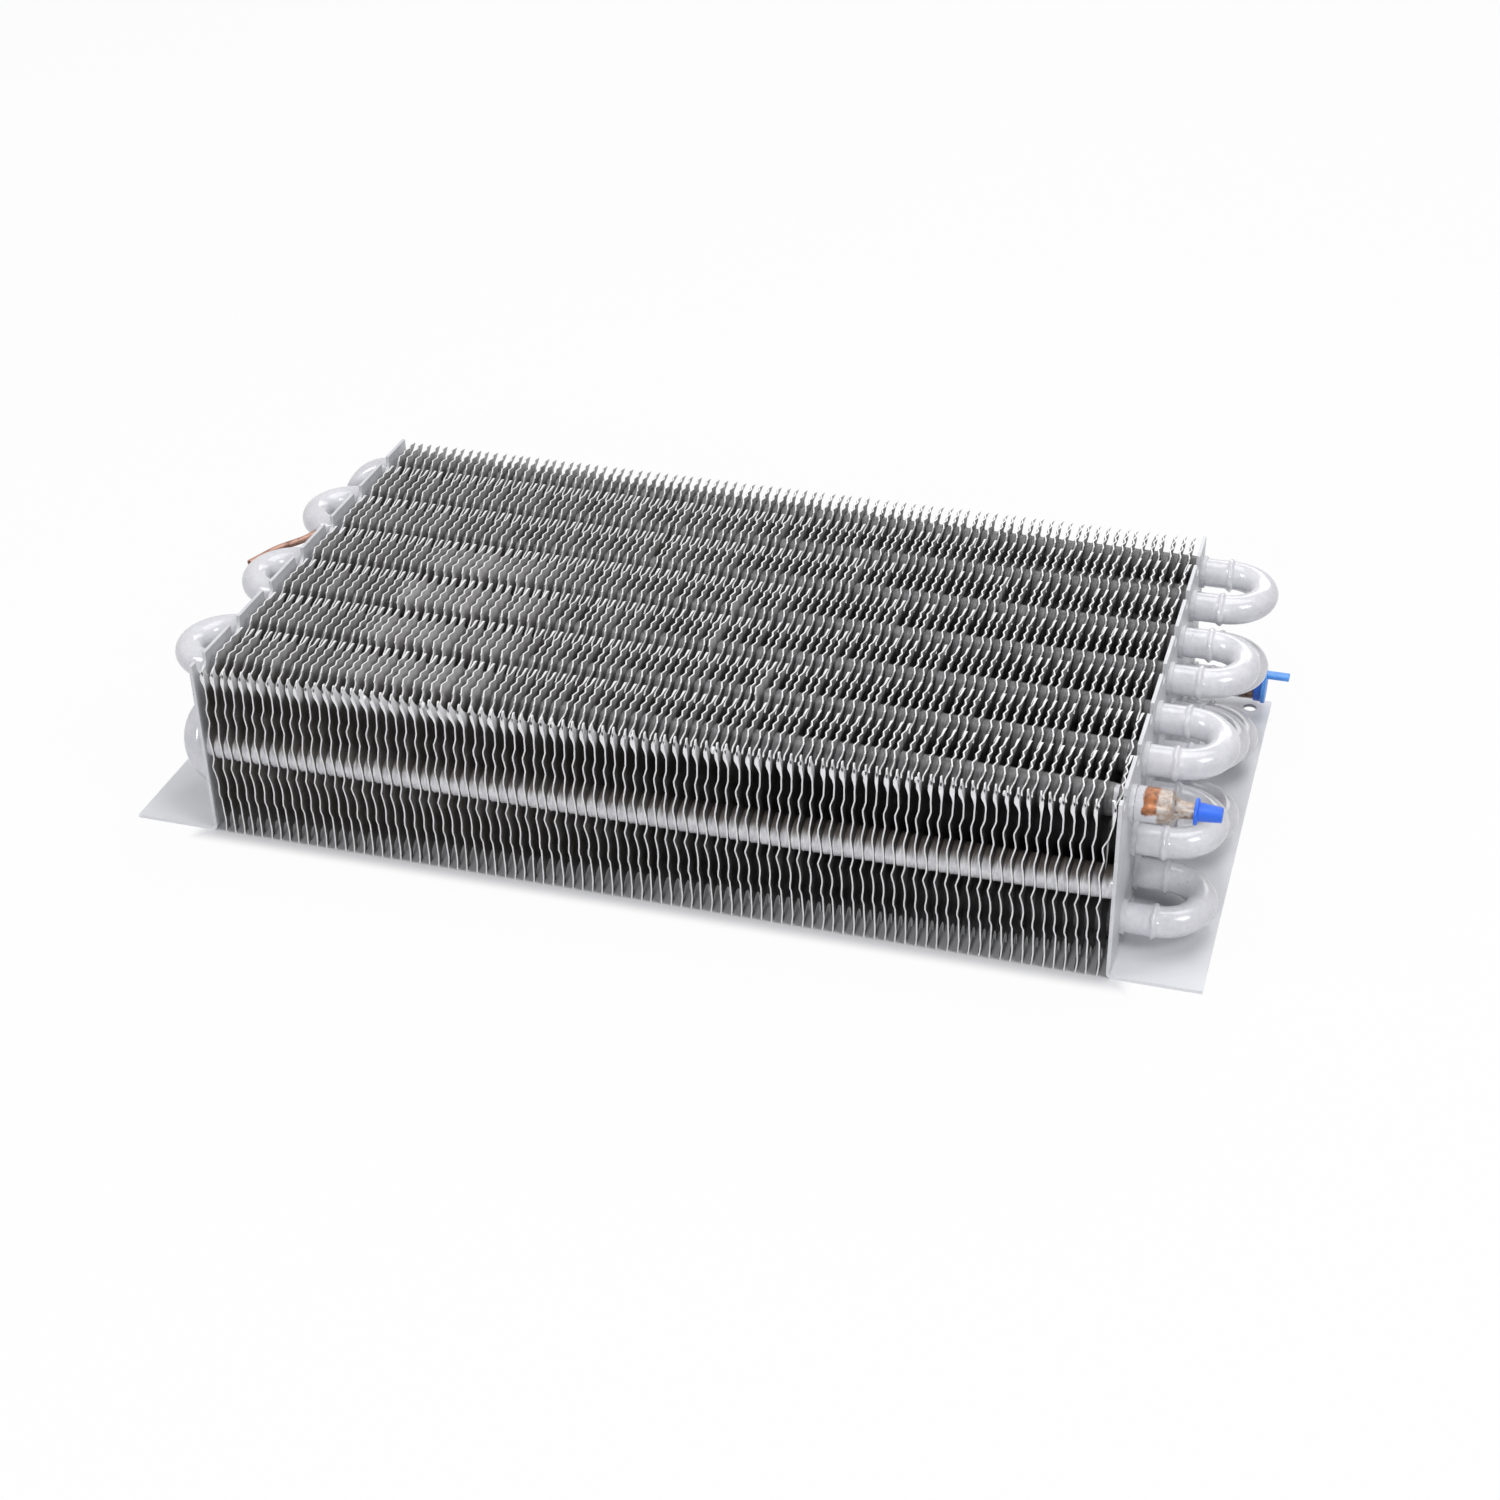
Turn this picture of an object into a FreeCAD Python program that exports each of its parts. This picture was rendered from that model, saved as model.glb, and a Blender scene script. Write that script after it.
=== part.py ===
import FreeCAD, Part
import math
import os
import Sketcher

# Finned evaporator coil, millimetres. X runs along the tubes, -Y is the front, Z = 0 is the
# underside of the two mounting flanges, and the origin lies midway between the end plates.
# The driving dimensions: alias, value, what it measures
SIZES = [
    ("length_over_plates", 390.0, "outer face to outer face of the end plates"),
    ("tube_pitch", 31.75, "between neighbouring tubes of one row"),
    ("row_pitch", 27.5, "between the rows of tubes"),
    ("tube_diameter", 12.7, "outside of the coil tubes"),
    ("tube_wall", 0.6, "wall of the coil tubes"),
    ("plate_thickness", 1.5, "sheet of the end plates"),
    ("flange_width", 36.5, "plate face to the free edge of the flange"),
    ("fold_radius", 1.0, "inside of the fold between plate and flange"),
    ("flange_hole_diameter", 6.0, "screw hole in the flange"),
    ("flange_hole_side", 9.0, "screw hole to the free edge of the flange"),
    ("flange_hole_back", 7.8, "screw hole to the back edge of the flange"),
    ("plate_hole_clearance", 0.15, "tube to plate hole, each side"),
    ("collar_height", 2.0, "drawn collar round each plate hole"),
    ("collar_wall", 0.7, "wall of the drawn collar"),
    ("notch_width", 8.2, "heater rod notch"),
    ("notch_depth", 7.0, "heater rod notch, from the edge"),
    ("fin_thickness", 0.6, "painted fin"),
    ("fin_end_gap", 4.0, "plate to the middle of the nearest fin"),
    ("fin_ground_gap", 0.6, "fins above the underside of the flanges"),
    ("fin_hole_clearance", 0.05, "tube to fin hole, each side"),
    ("hairpin_straight", 3.9, "plate to the start of a hairpin bend"),
    ("socket_reach", 13.6, "plate to the mouth of a socket"),
    ("lip_height", 0.95, "socket lip above the tube"),
    ("lip_length", 2.2, "socket lip along the tube"),
    ("lip_flat", 0.8, "cylindrical edge of the socket lip"),
    ("return_wall", 1.0, "wall of the return bends"),
    ("spigot_length", 8.0, "return bend inside its socket"),
    ("fit_clearance", 0.05, "between pieces that plug together"),
    ("reducer_wall", 0.65, "wall of the inlet reducer"),
    ("reducer_gap", 0.3, "collar to the reducer"),
    ("sleeve_length", 13.6, "straight part of the inlet reducer"),
    ("shoulder_length", 3.1, "cone of the inlet reducer"),
    ("neck_diameter", 6.35, "outside of the inlet neck"),
    ("neck_length", 9.0, "shoulder to the end of the neck"),
    ("inlet_cap_overlap", 3.2, "cap over the neck"),
    ("inlet_cap_length", 10.7, "inlet cap, brim to closed end"),
    ("inlet_cap_wall", 0.65, "wall of the inlet cap"),
    ("inlet_cap_tip", 6.0, "outside diameter at the closed end"),
    ("inlet_brim_height", 1.5, "brim beyond the body of the cap"),
    ("brim_thickness", 1.5, "brim of the inlet cap"),
    ("outlet_reach", 31.9, "plate to the end of the outlet tube"),
    ("outlet_skirt", 3.2, "outlet cap over the tube"),
    ("outlet_skirt_wall", 0.6, "wall of that skirt"),
    ("outlet_disc_diameter", 15.4, "disc of the outlet cap"),
    ("outlet_disc_thickness", 2.0, "disc of the outlet cap"),
    ("tab_length", 9.8, "pull tab of the outlet cap"),
    ("tab_width", 4.6, "pull tab across"),
    ("tab_thickness", 1.7, "pull tab"),
    ("feeder_diameter", 3.2, "outside of the small open tube"),
    ("feeder_wall", 0.6, "wall of the small open tube"),
    ("feeder_root", 8.0, "straight run at the brazed end"),
    ("feeder_offset", 4.0, "sideways set of the small tube"),
    ("feeder_set_length", 14.0, "length of that sideways set"),
    ("feeder_tip", 17.0, "straight run to the open end"),
    ("feeder_bend", 30.0, "radius of the bends in the small tube"),
]

COLUMNS = 7  # tubes in each row
ROWS = 3
FIN_COUNT = 89
FINS_IN_A_GROUP = 4
BENDS_IN_A_ROW = 3  # return bends of one row
FEEDER_ANGLE = 20.0  # degrees round the last top hairpin bend, from its front leg

size = {alias: value for alias, value, meaning in SIZES}

# What several pieces share, written once
DEPTH = f"(Sizes.tube_pitch * {COLUMNS})"
HEIGHT = f"(Sizes.row_pitch * {ROWS})"
RIGHT_FACE = "(Sizes.length_over_plates / 2)"
FIN_STEP = (
    "((Sizes.length_over_plates - 2 * Sizes.plate_thickness - 2 * Sizes.fin_end_gap)"
    f" / {FIN_COUNT - 1})"
)
TUBE_RADIUS = "(Sizes.tube_diameter / 2)"
BORE_RADIUS = "(Sizes.tube_diameter / 2 - Sizes.tube_wall)"
DIAGONAL_PITCH = "sqrt(Sizes.tube_pitch ^ 2 / 4 + Sizes.row_pitch ^ 2)"
FIRST_TUBE = {"bottom": 0.75, "middle": 0.25, "top": 0.75}  # in tube pitches from the front edge
LEVEL = {"bottom": 0.5, "middle": 1.5, "top": 2.5}  # in row pitches from the underside

X_AXIS = FreeCAD.Vector(1, 0, 0)
Z_AXIS = FreeCAD.Vector(0, 0, 1)
OVERCUT = 2.0  # how far a cutting outline runs past an edge
EDGE_TOLERANCE = 0.01  # how near an edge lies to the place it is looked for

doc = FreeCAD.newDocument("evaporator_coil")
sheet = doc.addObject("Spreadsheet::Sheet", "Sizes")
for line, (alias, value, meaning) in enumerate(SIZES, start=1):
    sheet.set(f"A{line}", alias.replace("_", " "))
    sheet.set(f"B{line}", str(value))
    sheet.setAlias(f"B{line}", alias)
    sheet.set(f"C{line}", meaning)
doc.recompute()

sub_parts = []


def tube_y(row, column):
    """Where a tube stands between front and back, measured from the middle of the coil."""
    return f"(Sizes.tube_pitch * {FIRST_TUBE[row] + column - 1 - COLUMNS / 2})"


def tube_z(row):
    return f"(Sizes.row_pitch * {LEVEL[row]})"


def new_body(label):
    body = doc.addObject("PartDesign::Body", label)
    body.Label = label
    sub_parts.append(body)
    return body


def place(piece, x="0", y="0", z="0"):
    for axis, expression in (("x", x), ("y", y), ("z", z)):
        piece.setExpression(f"Placement.Base.{axis}", expression)


def origin_feature(body, role):
    return [item for item in body.Origin.OriginFeatures if item.Role == role][0]


class Drawing:
    """An outline on one of its body's own planes, with every size bound to the sheet."""

    def __init__(self, body, name, role, offset=None):
        self.sketch = body.newObject("Sketcher::SketchObject", name)
        self.sketch.AttachmentSupport = [(origin_feature(body, role), "")]
        self.sketch.MapMode = "FlatFace"
        for axis, expression in (offset or {}).items():
            self.sketch.setExpression(f"AttachmentOffset.Base.{axis}", expression)

    def add(self, shape):
        return self.sketch.addGeometry(shape, False)

    def relate(self, *words):
        return self.sketch.addConstraint(Sketcher.Constraint(*words))

    def bind(self, expression, *words):
        self.sketch.setExpression(f"Constraints[{self.relate(*words)}]", expression)

    def set_point(self, geometry, end, x, y):
        """Fixes a point at (x, y). None leaves a coordinate free and 0 puts it on the axis."""
        point = self.sketch.getPoint(geometry, end)
        if x == 0:
            self.relate("PointOnObject", geometry, end, -2)
        elif x is not None:
            self.bind(x, "DistanceX", -1, 1, geometry, end, point.x)
        if y == 0:
            self.relate("PointOnObject", geometry, end, -1)
        elif y is not None:
            self.bind(y, "DistanceY", -1, 1, geometry, end, point.y)

    def circle(self, radius, x=0, y=0, near=(0, 0, 5)):
        """near is a rough centre and radius, before the sizes are applied."""
        centre = FreeCAD.Vector(near[0], near[1], 0)
        ring = self.add(Part.Circle(centre, Z_AXIS, near[2]))
        self.bind(radius, "Radius", ring, near[2])
        self.set_point(ring, 3, x, y)
        return ring

    def polygon(self, corners):
        """corners: the sizes that give x and y, with a rough (x, y) beside them."""
        starts = [FreeCAD.Vector(rough[0], rough[1], 0) for x, y, rough in corners]
        count = len(corners)
        sides = [self.add(Part.LineSegment(starts[k], starts[(k + 1) % count])) for k in range(count)]
        for k in range(count):
            self.relate("Coincident", sides[k], 2, sides[(k + 1) % count], 1)
        for side, (x, y, rough) in zip(sides, corners):
            self.set_point(side, 1, x, y)
        return sides

    def rounded_path(self, corners, radius):
        """A run of lines through the corners with a tangent arc of one radius at each turn."""
        points = [FreeCAD.Vector(rough[0], rough[1], 0) for x, y, rough in corners]
        sides = [self.add(Part.LineSegment(a, b)) for a, b in zip(points, points[1:])]
        for left, right in zip(sides, sides[1:]):
            self.relate("Coincident", left, 2, right, 1)
        for k, (x, y, rough) in enumerate(corners[:-1]):
            self.set_point(sides[k], 1, x, y)
        self.set_point(sides[-1], 2, corners[-1][0], corners[-1][1])
        for left, right in zip(sides, sides[1:]):
            self.sketch.fillet(left, right, *self.beside(left, right), radius, True, True)
        return sides

    def beside(self, left, right):
        start = self.sketch.getPoint(left, 1)
        corner = self.sketch.getPoint(left, 2)
        end = self.sketch.getPoint(right, 2)
        return (start + corner) / 2, (corner + end) / 2

    def notch(self, x, edge, upward, near):
        """A round-bottomed slot that opens at an edge; upward is 1 where it opens upwards."""
        half = size["notch_width"] / 2
        deep = near[1] - upward * (size["notch_depth"] - half)
        rim = near[1] + upward * OVERCUT
        left, right = near[0] - half, near[0] + half
        middle = FreeCAD.Vector(near[0], deep, 0)
        turns = (math.pi, 2 * math.pi) if upward > 0 else (0, math.pi)
        first, last = (left, right) if upward > 0 else (right, left)
        down = self.add(Part.LineSegment(FreeCAD.Vector(first, rim, 0), FreeCAD.Vector(first, deep, 0)))
        arc = self.add(Part.ArcOfCircle(Part.Circle(middle, Z_AXIS, half), *turns))
        up = self.add(Part.LineSegment(FreeCAD.Vector(last, deep, 0), FreeCAD.Vector(last, rim, 0)))
        top = self.add(Part.LineSegment(FreeCAD.Vector(last, rim, 0), FreeCAD.Vector(first, rim, 0)))
        self.relate("Tangent", down, 2, arc, 1)
        self.relate("Tangent", arc, 2, up, 1)
        self.relate("Coincident", up, 2, top, 1)
        self.relate("Coincident", top, 2, down, 1)
        self.relate("Vertical", down)
        self.relate("Vertical", up)
        self.relate("Horizontal", top)
        self.bind("Sizes.notch_width / 2", "Radius", arc, half)
        sign = "-" if upward > 0 else "+"
        centre = f"{edge} {sign} (Sizes.notch_depth - Sizes.notch_width / 2)"
        self.set_point(arc, 3, x, centre)
        self.set_point(down, 1, None, f"{edge} {'+' if upward > 0 else '-'} {OVERCUT}")


def pad(body, name, drawing, length, reverse=False, midplane=False):
    feature = body.newObject("PartDesign::Pad", name)
    feature.Profile = drawing.sketch
    feature.Midplane = midplane
    feature.Reversed = reverse
    feature.setExpression("Length", length)
    return feature


def cut_through(body, name, drawing):
    feature = body.newObject("PartDesign::Pocket", name)
    feature.Profile = drawing.sketch
    feature.Type = "ThroughAll"
    feature.Midplane = True
    return feature


def repeat(body, name, feature, role, copies, length):
    pattern = body.newObject("PartDesign::LinearPattern", name)
    pattern.Originals = [feature]
    pattern.Direction = (origin_feature(body, role), [""])
    pattern.Occurrences = copies
    pattern.setExpression("Length", length)
    body.Tip = pattern
    return pattern


def turn_profile(body, name, drawing):
    """Spins a half section about its own horizontal axis."""
    feature = body.newObject("PartDesign::Revolution", name)
    feature.Profile = drawing.sketch
    feature.ReferenceAxis = (drawing.sketch, ["H_Axis"])
    feature.Angle = 360
    return feature


def sweep_tube(body, name, path, outer, inner, near):
    """Sweeps a ring along a path that starts at the body's origin along X."""
    section = Drawing(body, name + "Section", "YZ_Plane")
    section.circle(outer, near=(0, 0, near))
    section.circle(inner, near=(0, 0, near * 0.8))
    feature = body.newObject("PartDesign::AdditivePipe", name)
    feature.Profile = section.sketch
    feature.Spine = path.sketch
    return feature


def column_cuts(drawing, edge_offset, clearance, rows, notches):
    """The holes and notches that belong to one tube pitch, for a repeat along Y."""
    pitch, radius = size["tube_pitch"], size["tube_diameter"] / 2
    for row in rows:
        y = f"Sizes.tube_pitch * {FIRST_TUBE[row]}"
        z = f"{tube_z(row)} - {edge_offset}"
        rough = (pitch * FIRST_TUBE[row], size["row_pitch"] * LEVEL[row], radius)
        drawing.circle(f"{TUBE_RADIUS} + {clearance}", y, z, near=rough)
    notch_y = f"Sizes.tube_pitch * {FIRST_TUBE['middle']}"
    for edge, upward, rough_z in notches:
        drawing.notch(notch_y, edge, upward, (pitch * FIRST_TUBE["middle"], rough_z))


def edges_along_y(shape, x, z):
    """Names of the straight edges that run from front to back at (x, z)."""
    names = []
    for number, edge in enumerate(shape.Edges, start=1):
        box = edge.BoundBox
        off = max(abs(box.XMin - x), abs(box.XMax - x), abs(box.ZMin - z), abs(box.ZMax - z))
        if off < EDGE_TOLERANCE:
            names.append(f"Edge{number}")
    return names


def end_plate(label, outward):
    """A sheet with tube holes, folded outwards at the bottom into a mounting flange.

    Its own X = 0 is the outer face and its own Y = 0 the front edge; outward is 1 or -1.
    """
    body = new_body(label)
    place(body, f"{outward} * {RIGHT_FACE}", f"-{DEPTH} / 2")
    inner = f"{-outward} * Sizes.plate_thickness"
    thick, wide, tall = size["plate_thickness"], size["flange_width"], size["row_pitch"] * ROWS

    section = Drawing(body, "Section", "XZ_Plane")
    section.polygon([
        (inner, 0, (-outward * thick, 0)),
        (f"{outward} * Sizes.flange_width", 0, (outward * wide, 0)),
        (f"{outward} * Sizes.flange_width", "Sizes.plate_thickness", (outward * wide, thick)),
        (0, "Sizes.plate_thickness", (0, thick)),
        (0, HEIGHT, (0, tall)),
        (inner, HEIGHT, (-outward * thick, tall)),
    ])
    sheet_pad = pad(body, "Sheet", section, DEPTH, reverse=True)
    doc.recompute()

    base = sheet_pad
    for name, x, z, radius in (
        ("FoldOuter", -outward * thick, 0, "Sizes.fold_radius + Sizes.plate_thickness"),
        ("FoldInner", 0, thick, "Sizes.fold_radius"),
    ):
        fold = body.newObject("PartDesign::Fillet", name)
        fold.Base = (base, edges_along_y(base.Shape, x, z))
        fold.setExpression("Radius", radius)
        doc.recompute()
        base = fold

    hole = "Sizes.plate_hole_clearance"
    for name, rows, first, copies, notched in (
        ("Outer", ("top", "bottom"), 0, COLUMNS, True),
        ("Middle", ("middle",), 1, COLUMNS - 1, False),
    ):
        shift = {"x": f"Sizes.tube_pitch * {first}"}
        span = f"Sizes.tube_pitch * {copies - 1}"
        rings = Drawing(body, name + "Rings", "YZ_Plane", shift)
        column_cuts(rings, "0", f"{hole} + Sizes.collar_wall", rows, ())
        collars = pad(body, name + "Collars", rings, "Sizes.collar_height", reverse=outward < 0)
        repeat(body, name + "CollarRow", collars, "Y_Axis", copies, span)
        holes = Drawing(body, name + "Holes", "YZ_Plane", shift)
        column_cuts(holes, "0", hole, rows, [(HEIGHT, 1, tall)] if notched else ())
        cuts = cut_through(body, name + "Cuts", holes)
        repeat(body, name + "CutRow", cuts, "Y_Axis", copies, span)

    screw = Drawing(body, "ScrewHole", "XY_Plane")
    screw.circle(
        "Sizes.flange_hole_diameter / 2",
        f"{outward} * (Sizes.flange_width - Sizes.flange_hole_side)",
        f"{DEPTH} - Sizes.flange_hole_back",
        near=(outward * 27, size["tube_pitch"] * COLUMNS - 8, 3),
    )
    cut_through(body, "ScrewCut", screw)


def add_lip(body, name, x, y):
    """The flared mouth of a socket, round the tube that ends at (x, y) of the body."""
    profile = Drawing(body, name + "Profile", "XY_Plane", {"x": x, "y": y})
    seat = f"({TUBE_RADIUS} - Sizes.tube_wall / 2)"
    crest = f"({TUBE_RADIUS} + Sizes.lip_height)"
    profile.polygon([
        ("-Sizes.lip_length", seat, (-2, 6)),
        (0, seat, (0, 6)),
        (0, crest, (0, 7)),
        ("-Sizes.lip_flat", crest, (-1, 7)),
        ("-Sizes.lip_length", TUBE_RADIUS, (-2, 6.4)),
    ])
    turn_profile(body, name, profile)


def hairpin(label, row, column, slanted=False, inlet=False, outlet=False):
    """A long tube bent back on itself: two legs through the coil and a bend at the left.

    The body's own origin is the right end of the first leg, which lies along X.
    """
    body = new_body(label)
    inlet_end = "(Sizes.collar_height + Sizes.reducer_gap + Sizes.sleeve_length - Sizes.reducer_wall)"
    first_reach = inlet_end if inlet else "Sizes.socket_reach"
    second_reach = "Sizes.outlet_reach" if outlet else "Sizes.socket_reach"
    if slanted:
        body.Placement = FreeCAD.Placement(FreeCAD.Vector(), FreeCAD.Rotation(X_AXIS, 60))
        body.setExpression("Placement.Rotation.Angle", "atan2(Sizes.row_pitch; Sizes.tube_pitch / 2)")
    place(body, f"{RIGHT_FACE} + {first_reach}", tube_y(row, column), tube_z(row))
    span = DIAGONAL_PITCH if slanted else "Sizes.tube_pitch"
    leg = f"(Sizes.length_over_plates + Sizes.hairpin_straight + {first_reach})"
    overhang = f"({second_reach} - {first_reach})"

    rough_leg, rough_span = size["length_over_plates"] + 17, size["tube_pitch"]
    rough_end = size["outlet_reach"] - size["socket_reach"] if outlet else 0
    path = Drawing(body, "Path", "XY_Plane")
    near = FreeCAD.Vector
    first = path.add(Part.LineSegment(near(0, 0, 0), near(-rough_leg, 0, 0)))
    bend_circle = Part.Circle(near(-rough_leg, rough_span / 2, 0), Z_AXIS, rough_span / 2)
    bend = path.add(Part.ArcOfCircle(bend_circle, math.pi / 2, 3 * math.pi / 2))
    second = path.add(
        Part.LineSegment(near(-rough_leg, rough_span, 0), near(rough_end, rough_span, 0))
    )
    path.relate("Tangent", first, 2, bend, 2)
    path.relate("Tangent", second, 1, bend, 1)
    path.relate("Horizontal", first)
    path.relate("Horizontal", second)
    path.relate("Coincident", first, 1, -1, 1)
    path.set_point(first, 2, f"-{leg}", None)
    path.set_point(second, 1, None, span)
    path.set_point(second, 2, overhang if inlet or outlet else 0, None)

    sweep_tube(body, "Tube", path, TUBE_RADIUS, BORE_RADIUS, size["tube_diameter"] / 2)
    if not inlet:
        add_lip(body, "FirstLip", "0", "0")
    if not outlet:
        add_lip(body, "SecondLip", overhang if inlet else "0", span)
    return body


def return_bend(label, row, column):
    """A half turn between two sockets, with a spigot inside each.

    The body's own origin is the mouth of the first socket.
    """
    body = new_body(label)
    place(body, f"{RIGHT_FACE} + Sizes.socket_reach", tube_y(row, column), tube_z(row))
    bore = f"({TUBE_RADIUS} - Sizes.return_wall)"
    rough_radius = size["tube_diameter"] / 2
    pitch = size["tube_pitch"]

    path = Drawing(body, "Path", "XY_Plane")
    half_turn = Part.Circle(FreeCAD.Vector(0, pitch / 2, 0), Z_AXIS, pitch / 2)
    arc = path.add(Part.ArcOfCircle(half_turn, -math.pi / 2, math.pi / 2))
    path.relate("Coincident", arc, 1, -1, 1)
    path.set_point(arc, 3, 0, None)
    path.set_point(arc, 2, 0, "Sizes.tube_pitch")
    sweep_tube(body, "Tube", path, TUBE_RADIUS, bore, rough_radius)

    ends = Drawing(body, "SpigotEnds", "YZ_Plane")
    for y, rough_y in ((0, 0), ("Sizes.tube_pitch", pitch)):
        ends.circle(f"{BORE_RADIUS} - Sizes.fit_clearance", y, near=(rough_y, 0, rough_radius - 0.7))
        ends.circle(bore, y, near=(rough_y, 0, rough_radius - 1))
    pad(body, "Spigots", ends, "Sizes.spigot_length", reverse=True)


def front_tube():
    """The plain tube at the front edge, between the two plates."""
    body = new_body("front_tube")
    place(body, "0", tube_y("middle", 1), tube_z("middle"))
    ring = Drawing(body, "Section", "YZ_Plane")
    ring.circle(TUBE_RADIUS, near=(0, 0, 6))
    ring.circle(BORE_RADIUS, near=(0, 0, 5))
    length = "Sizes.length_over_plates - 2 * Sizes.plate_thickness - 2 * Sizes.fit_clearance"
    pad(body, "Tube", ring, length, midplane=True)


def inlet_reducer():
    """A sleeve over the first leg that narrows to a small neck; X = 0 is the plate face."""
    body = new_body("inlet_reducer")
    place(body, RIGHT_FACE, tube_y("top", 1), tube_z("top"))
    wall = "Sizes.reducer_wall"
    sleeve_bore = f"({TUBE_RADIUS} + Sizes.fit_clearance)"
    start = "(Sizes.collar_height + Sizes.reducer_gap)"
    shoulder = f"({start} + Sizes.sleeve_length)"
    neck = f"({shoulder} + Sizes.shoulder_length)"
    end = f"({neck} + Sizes.neck_length)"
    neck_radius = "(Sizes.neck_diameter / 2)"
    half_section = Drawing(body, "HalfSection", "XY_Plane")
    half_section.polygon([
        (start, sleeve_bore, (2, 6.4)),
        (f"{shoulder} - {wall}", sleeve_bore, (15, 6.4)),
        (f"{neck} - {wall}", f"{neck_radius} - {wall}", (18, 2.5)),
        (end, f"{neck_radius} - {wall}", (28, 2.5)),
        (end, neck_radius, (28, 3.2)),
        (neck, neck_radius, (19, 3.2)),
        (shoulder, f"{sleeve_bore} + {wall}", (16, 7)),
        (start, f"{sleeve_bore} + {wall}", (2, 7)),
    ])
    turn_profile(body, "Reducer", half_section)


def inlet_cap():
    """A tapered push-on cap with a brim over the inlet neck; X = 0 is its open end."""
    body = new_body("inlet_cap")
    neck_end = (
        "(Sizes.collar_height + Sizes.reducer_gap + Sizes.sleeve_length"
        " + Sizes.shoulder_length + Sizes.neck_length)"
    )
    place(
        body,
        f"{RIGHT_FACE} + {neck_end} - Sizes.inlet_cap_overlap",
        tube_y("top", 1),
        tube_z("top"),
    )
    bore = "(Sizes.neck_diameter / 2 + Sizes.fit_clearance)"
    wall = "Sizes.inlet_cap_wall"
    step = "(Sizes.inlet_cap_overlap + Sizes.fit_clearance)"
    tip = "(Sizes.inlet_cap_tip / 2)"
    brim = f"({bore} + {wall} + Sizes.inlet_brim_height)"
    half_section = Drawing(body, "HalfSection", "XY_Plane")
    half_section.polygon([
        (0, bore, (0, 3.2)),
        (step, bore, (3.2, 3.2)),
        (f"Sizes.inlet_cap_length - {wall}", f"{tip} - {wall}", (10, 2.3)),
        (f"Sizes.inlet_cap_length - {wall}", 0, (10, 0)),
        ("Sizes.inlet_cap_length", 0, (10.7, 0)),
        ("Sizes.inlet_cap_length", tip, (10.7, 3)),
        ("Sizes.brim_thickness", f"{bore} + {wall}", (1.5, 3.9)),
        ("Sizes.brim_thickness", brim, (1.5, 5.3)),
        (0, brim, (0, 5.3)),
    ])
    turn_profile(body, "Cap", half_section)


def outlet_cap():
    """A cap with a pull tab on the outlet tube; X = 0 is the face against the tube end."""
    body = new_body("outlet_cap")
    place(body, f"{RIGHT_FACE} + Sizes.outlet_reach", tube_y("bottom", COLUMNS), tube_z("bottom"))
    bore = f"({TUBE_RADIUS} + Sizes.fit_clearance)"
    disc = "(Sizes.outlet_disc_diameter / 2)"
    half_section = Drawing(body, "HalfSection", "XY_Plane")
    half_section.polygon([
        ("Sizes.fit_clearance", 0, (0.05, 0)),
        ("Sizes.outlet_disc_thickness", 0, (2, 0)),
        ("Sizes.outlet_disc_thickness", disc, (2, 7.7)),
        ("Sizes.fit_clearance", disc, (0.05, 7.7)),
        ("Sizes.fit_clearance", f"{bore} + Sizes.outlet_skirt_wall", (0.05, 7)),
        ("-Sizes.outlet_skirt", f"{bore} + Sizes.outlet_skirt_wall", (-3, 7)),
        ("-Sizes.outlet_skirt", bore, (-3, 6.4)),
        ("Sizes.fit_clearance", bore, (0.05, 6.4)),
    ])
    turn_profile(body, "Cap", half_section)

    tab = Drawing(body, "TabSection", "YZ_Plane")
    top = f"({disc} - Sizes.tab_thickness / 2)"
    half = "Sizes.tab_width / 2"
    tab.polygon([
        (f"-{half}", f"{top} - Sizes.tab_thickness", (-2, 5)),
        (half, f"{top} - Sizes.tab_thickness", (2, 5)),
        (half, top, (2, 7)),
        (f"-{half}", top, (-2, 7)),
    ])
    pad(body, "Tab", tab, "Sizes.outlet_disc_thickness + Sizes.tab_length")


def feeder_tube(carrier):
    """A small open tube brazed to the outside of the last top hairpin bend.

    Its path starts at the middle of that bend and leaves it square to the bend's outer side.
    """
    centre = {
        "x": f"-{RIGHT_FACE} - Sizes.hairpin_straight",
        "y": f"({tube_y('top', 5)} + {tube_y('top', 6)}) / 2",
        "z": tube_z("top"),
    }
    body = doc.addObject("PartDesign::Body", "feeder_sweep")
    turned = FreeCAD.Rotation(Z_AXIS, 180 + 90 - FEEDER_ANGLE)
    body.Placement = FreeCAD.Placement(FreeCAD.Vector(), turned)
    root = "(Sizes.tube_pitch / 2 + Sizes.tube_diameter / 2 - Sizes.tube_wall / 2)"
    heading = FreeCAD.Vector(-math.sin(math.radians(FEEDER_ANGLE)), -math.cos(math.radians(FEEDER_ANGLE)), 0)
    place(
        body,
        f"{centre['x']} + {heading.x} * {root}",
        f"{centre['y']} + {heading.y} * {root}",
        centre["z"],
    )
    path = Drawing(body, "Path", "XY_Plane")
    set_end = "(Sizes.feeder_root + Sizes.feeder_set_length)"
    path.rounded_path(
        [
            (0, 0, (0, 0)),
            ("Sizes.feeder_root", 0, (8, 0)),
            (set_end, "-Sizes.feeder_offset", (22, -4)),
            (f"{set_end} + Sizes.feeder_tip", "-Sizes.feeder_offset", (39, -4)),
        ],
        size["feeder_bend"],
    )
    radius = "Sizes.feeder_diameter / 2"
    sweep_tube(body, "Tube", path, radius, f"{radius} - Sizes.feeder_wall", 1.6)
    doc.recompute()

    saddle = doc.addObject("Part::Cut", "feeder_tube")
    saddle.Base = body
    saddle.Tool = carrier
    saddle.Label = "feeder_tube"
    sub_parts.append(saddle)


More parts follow.
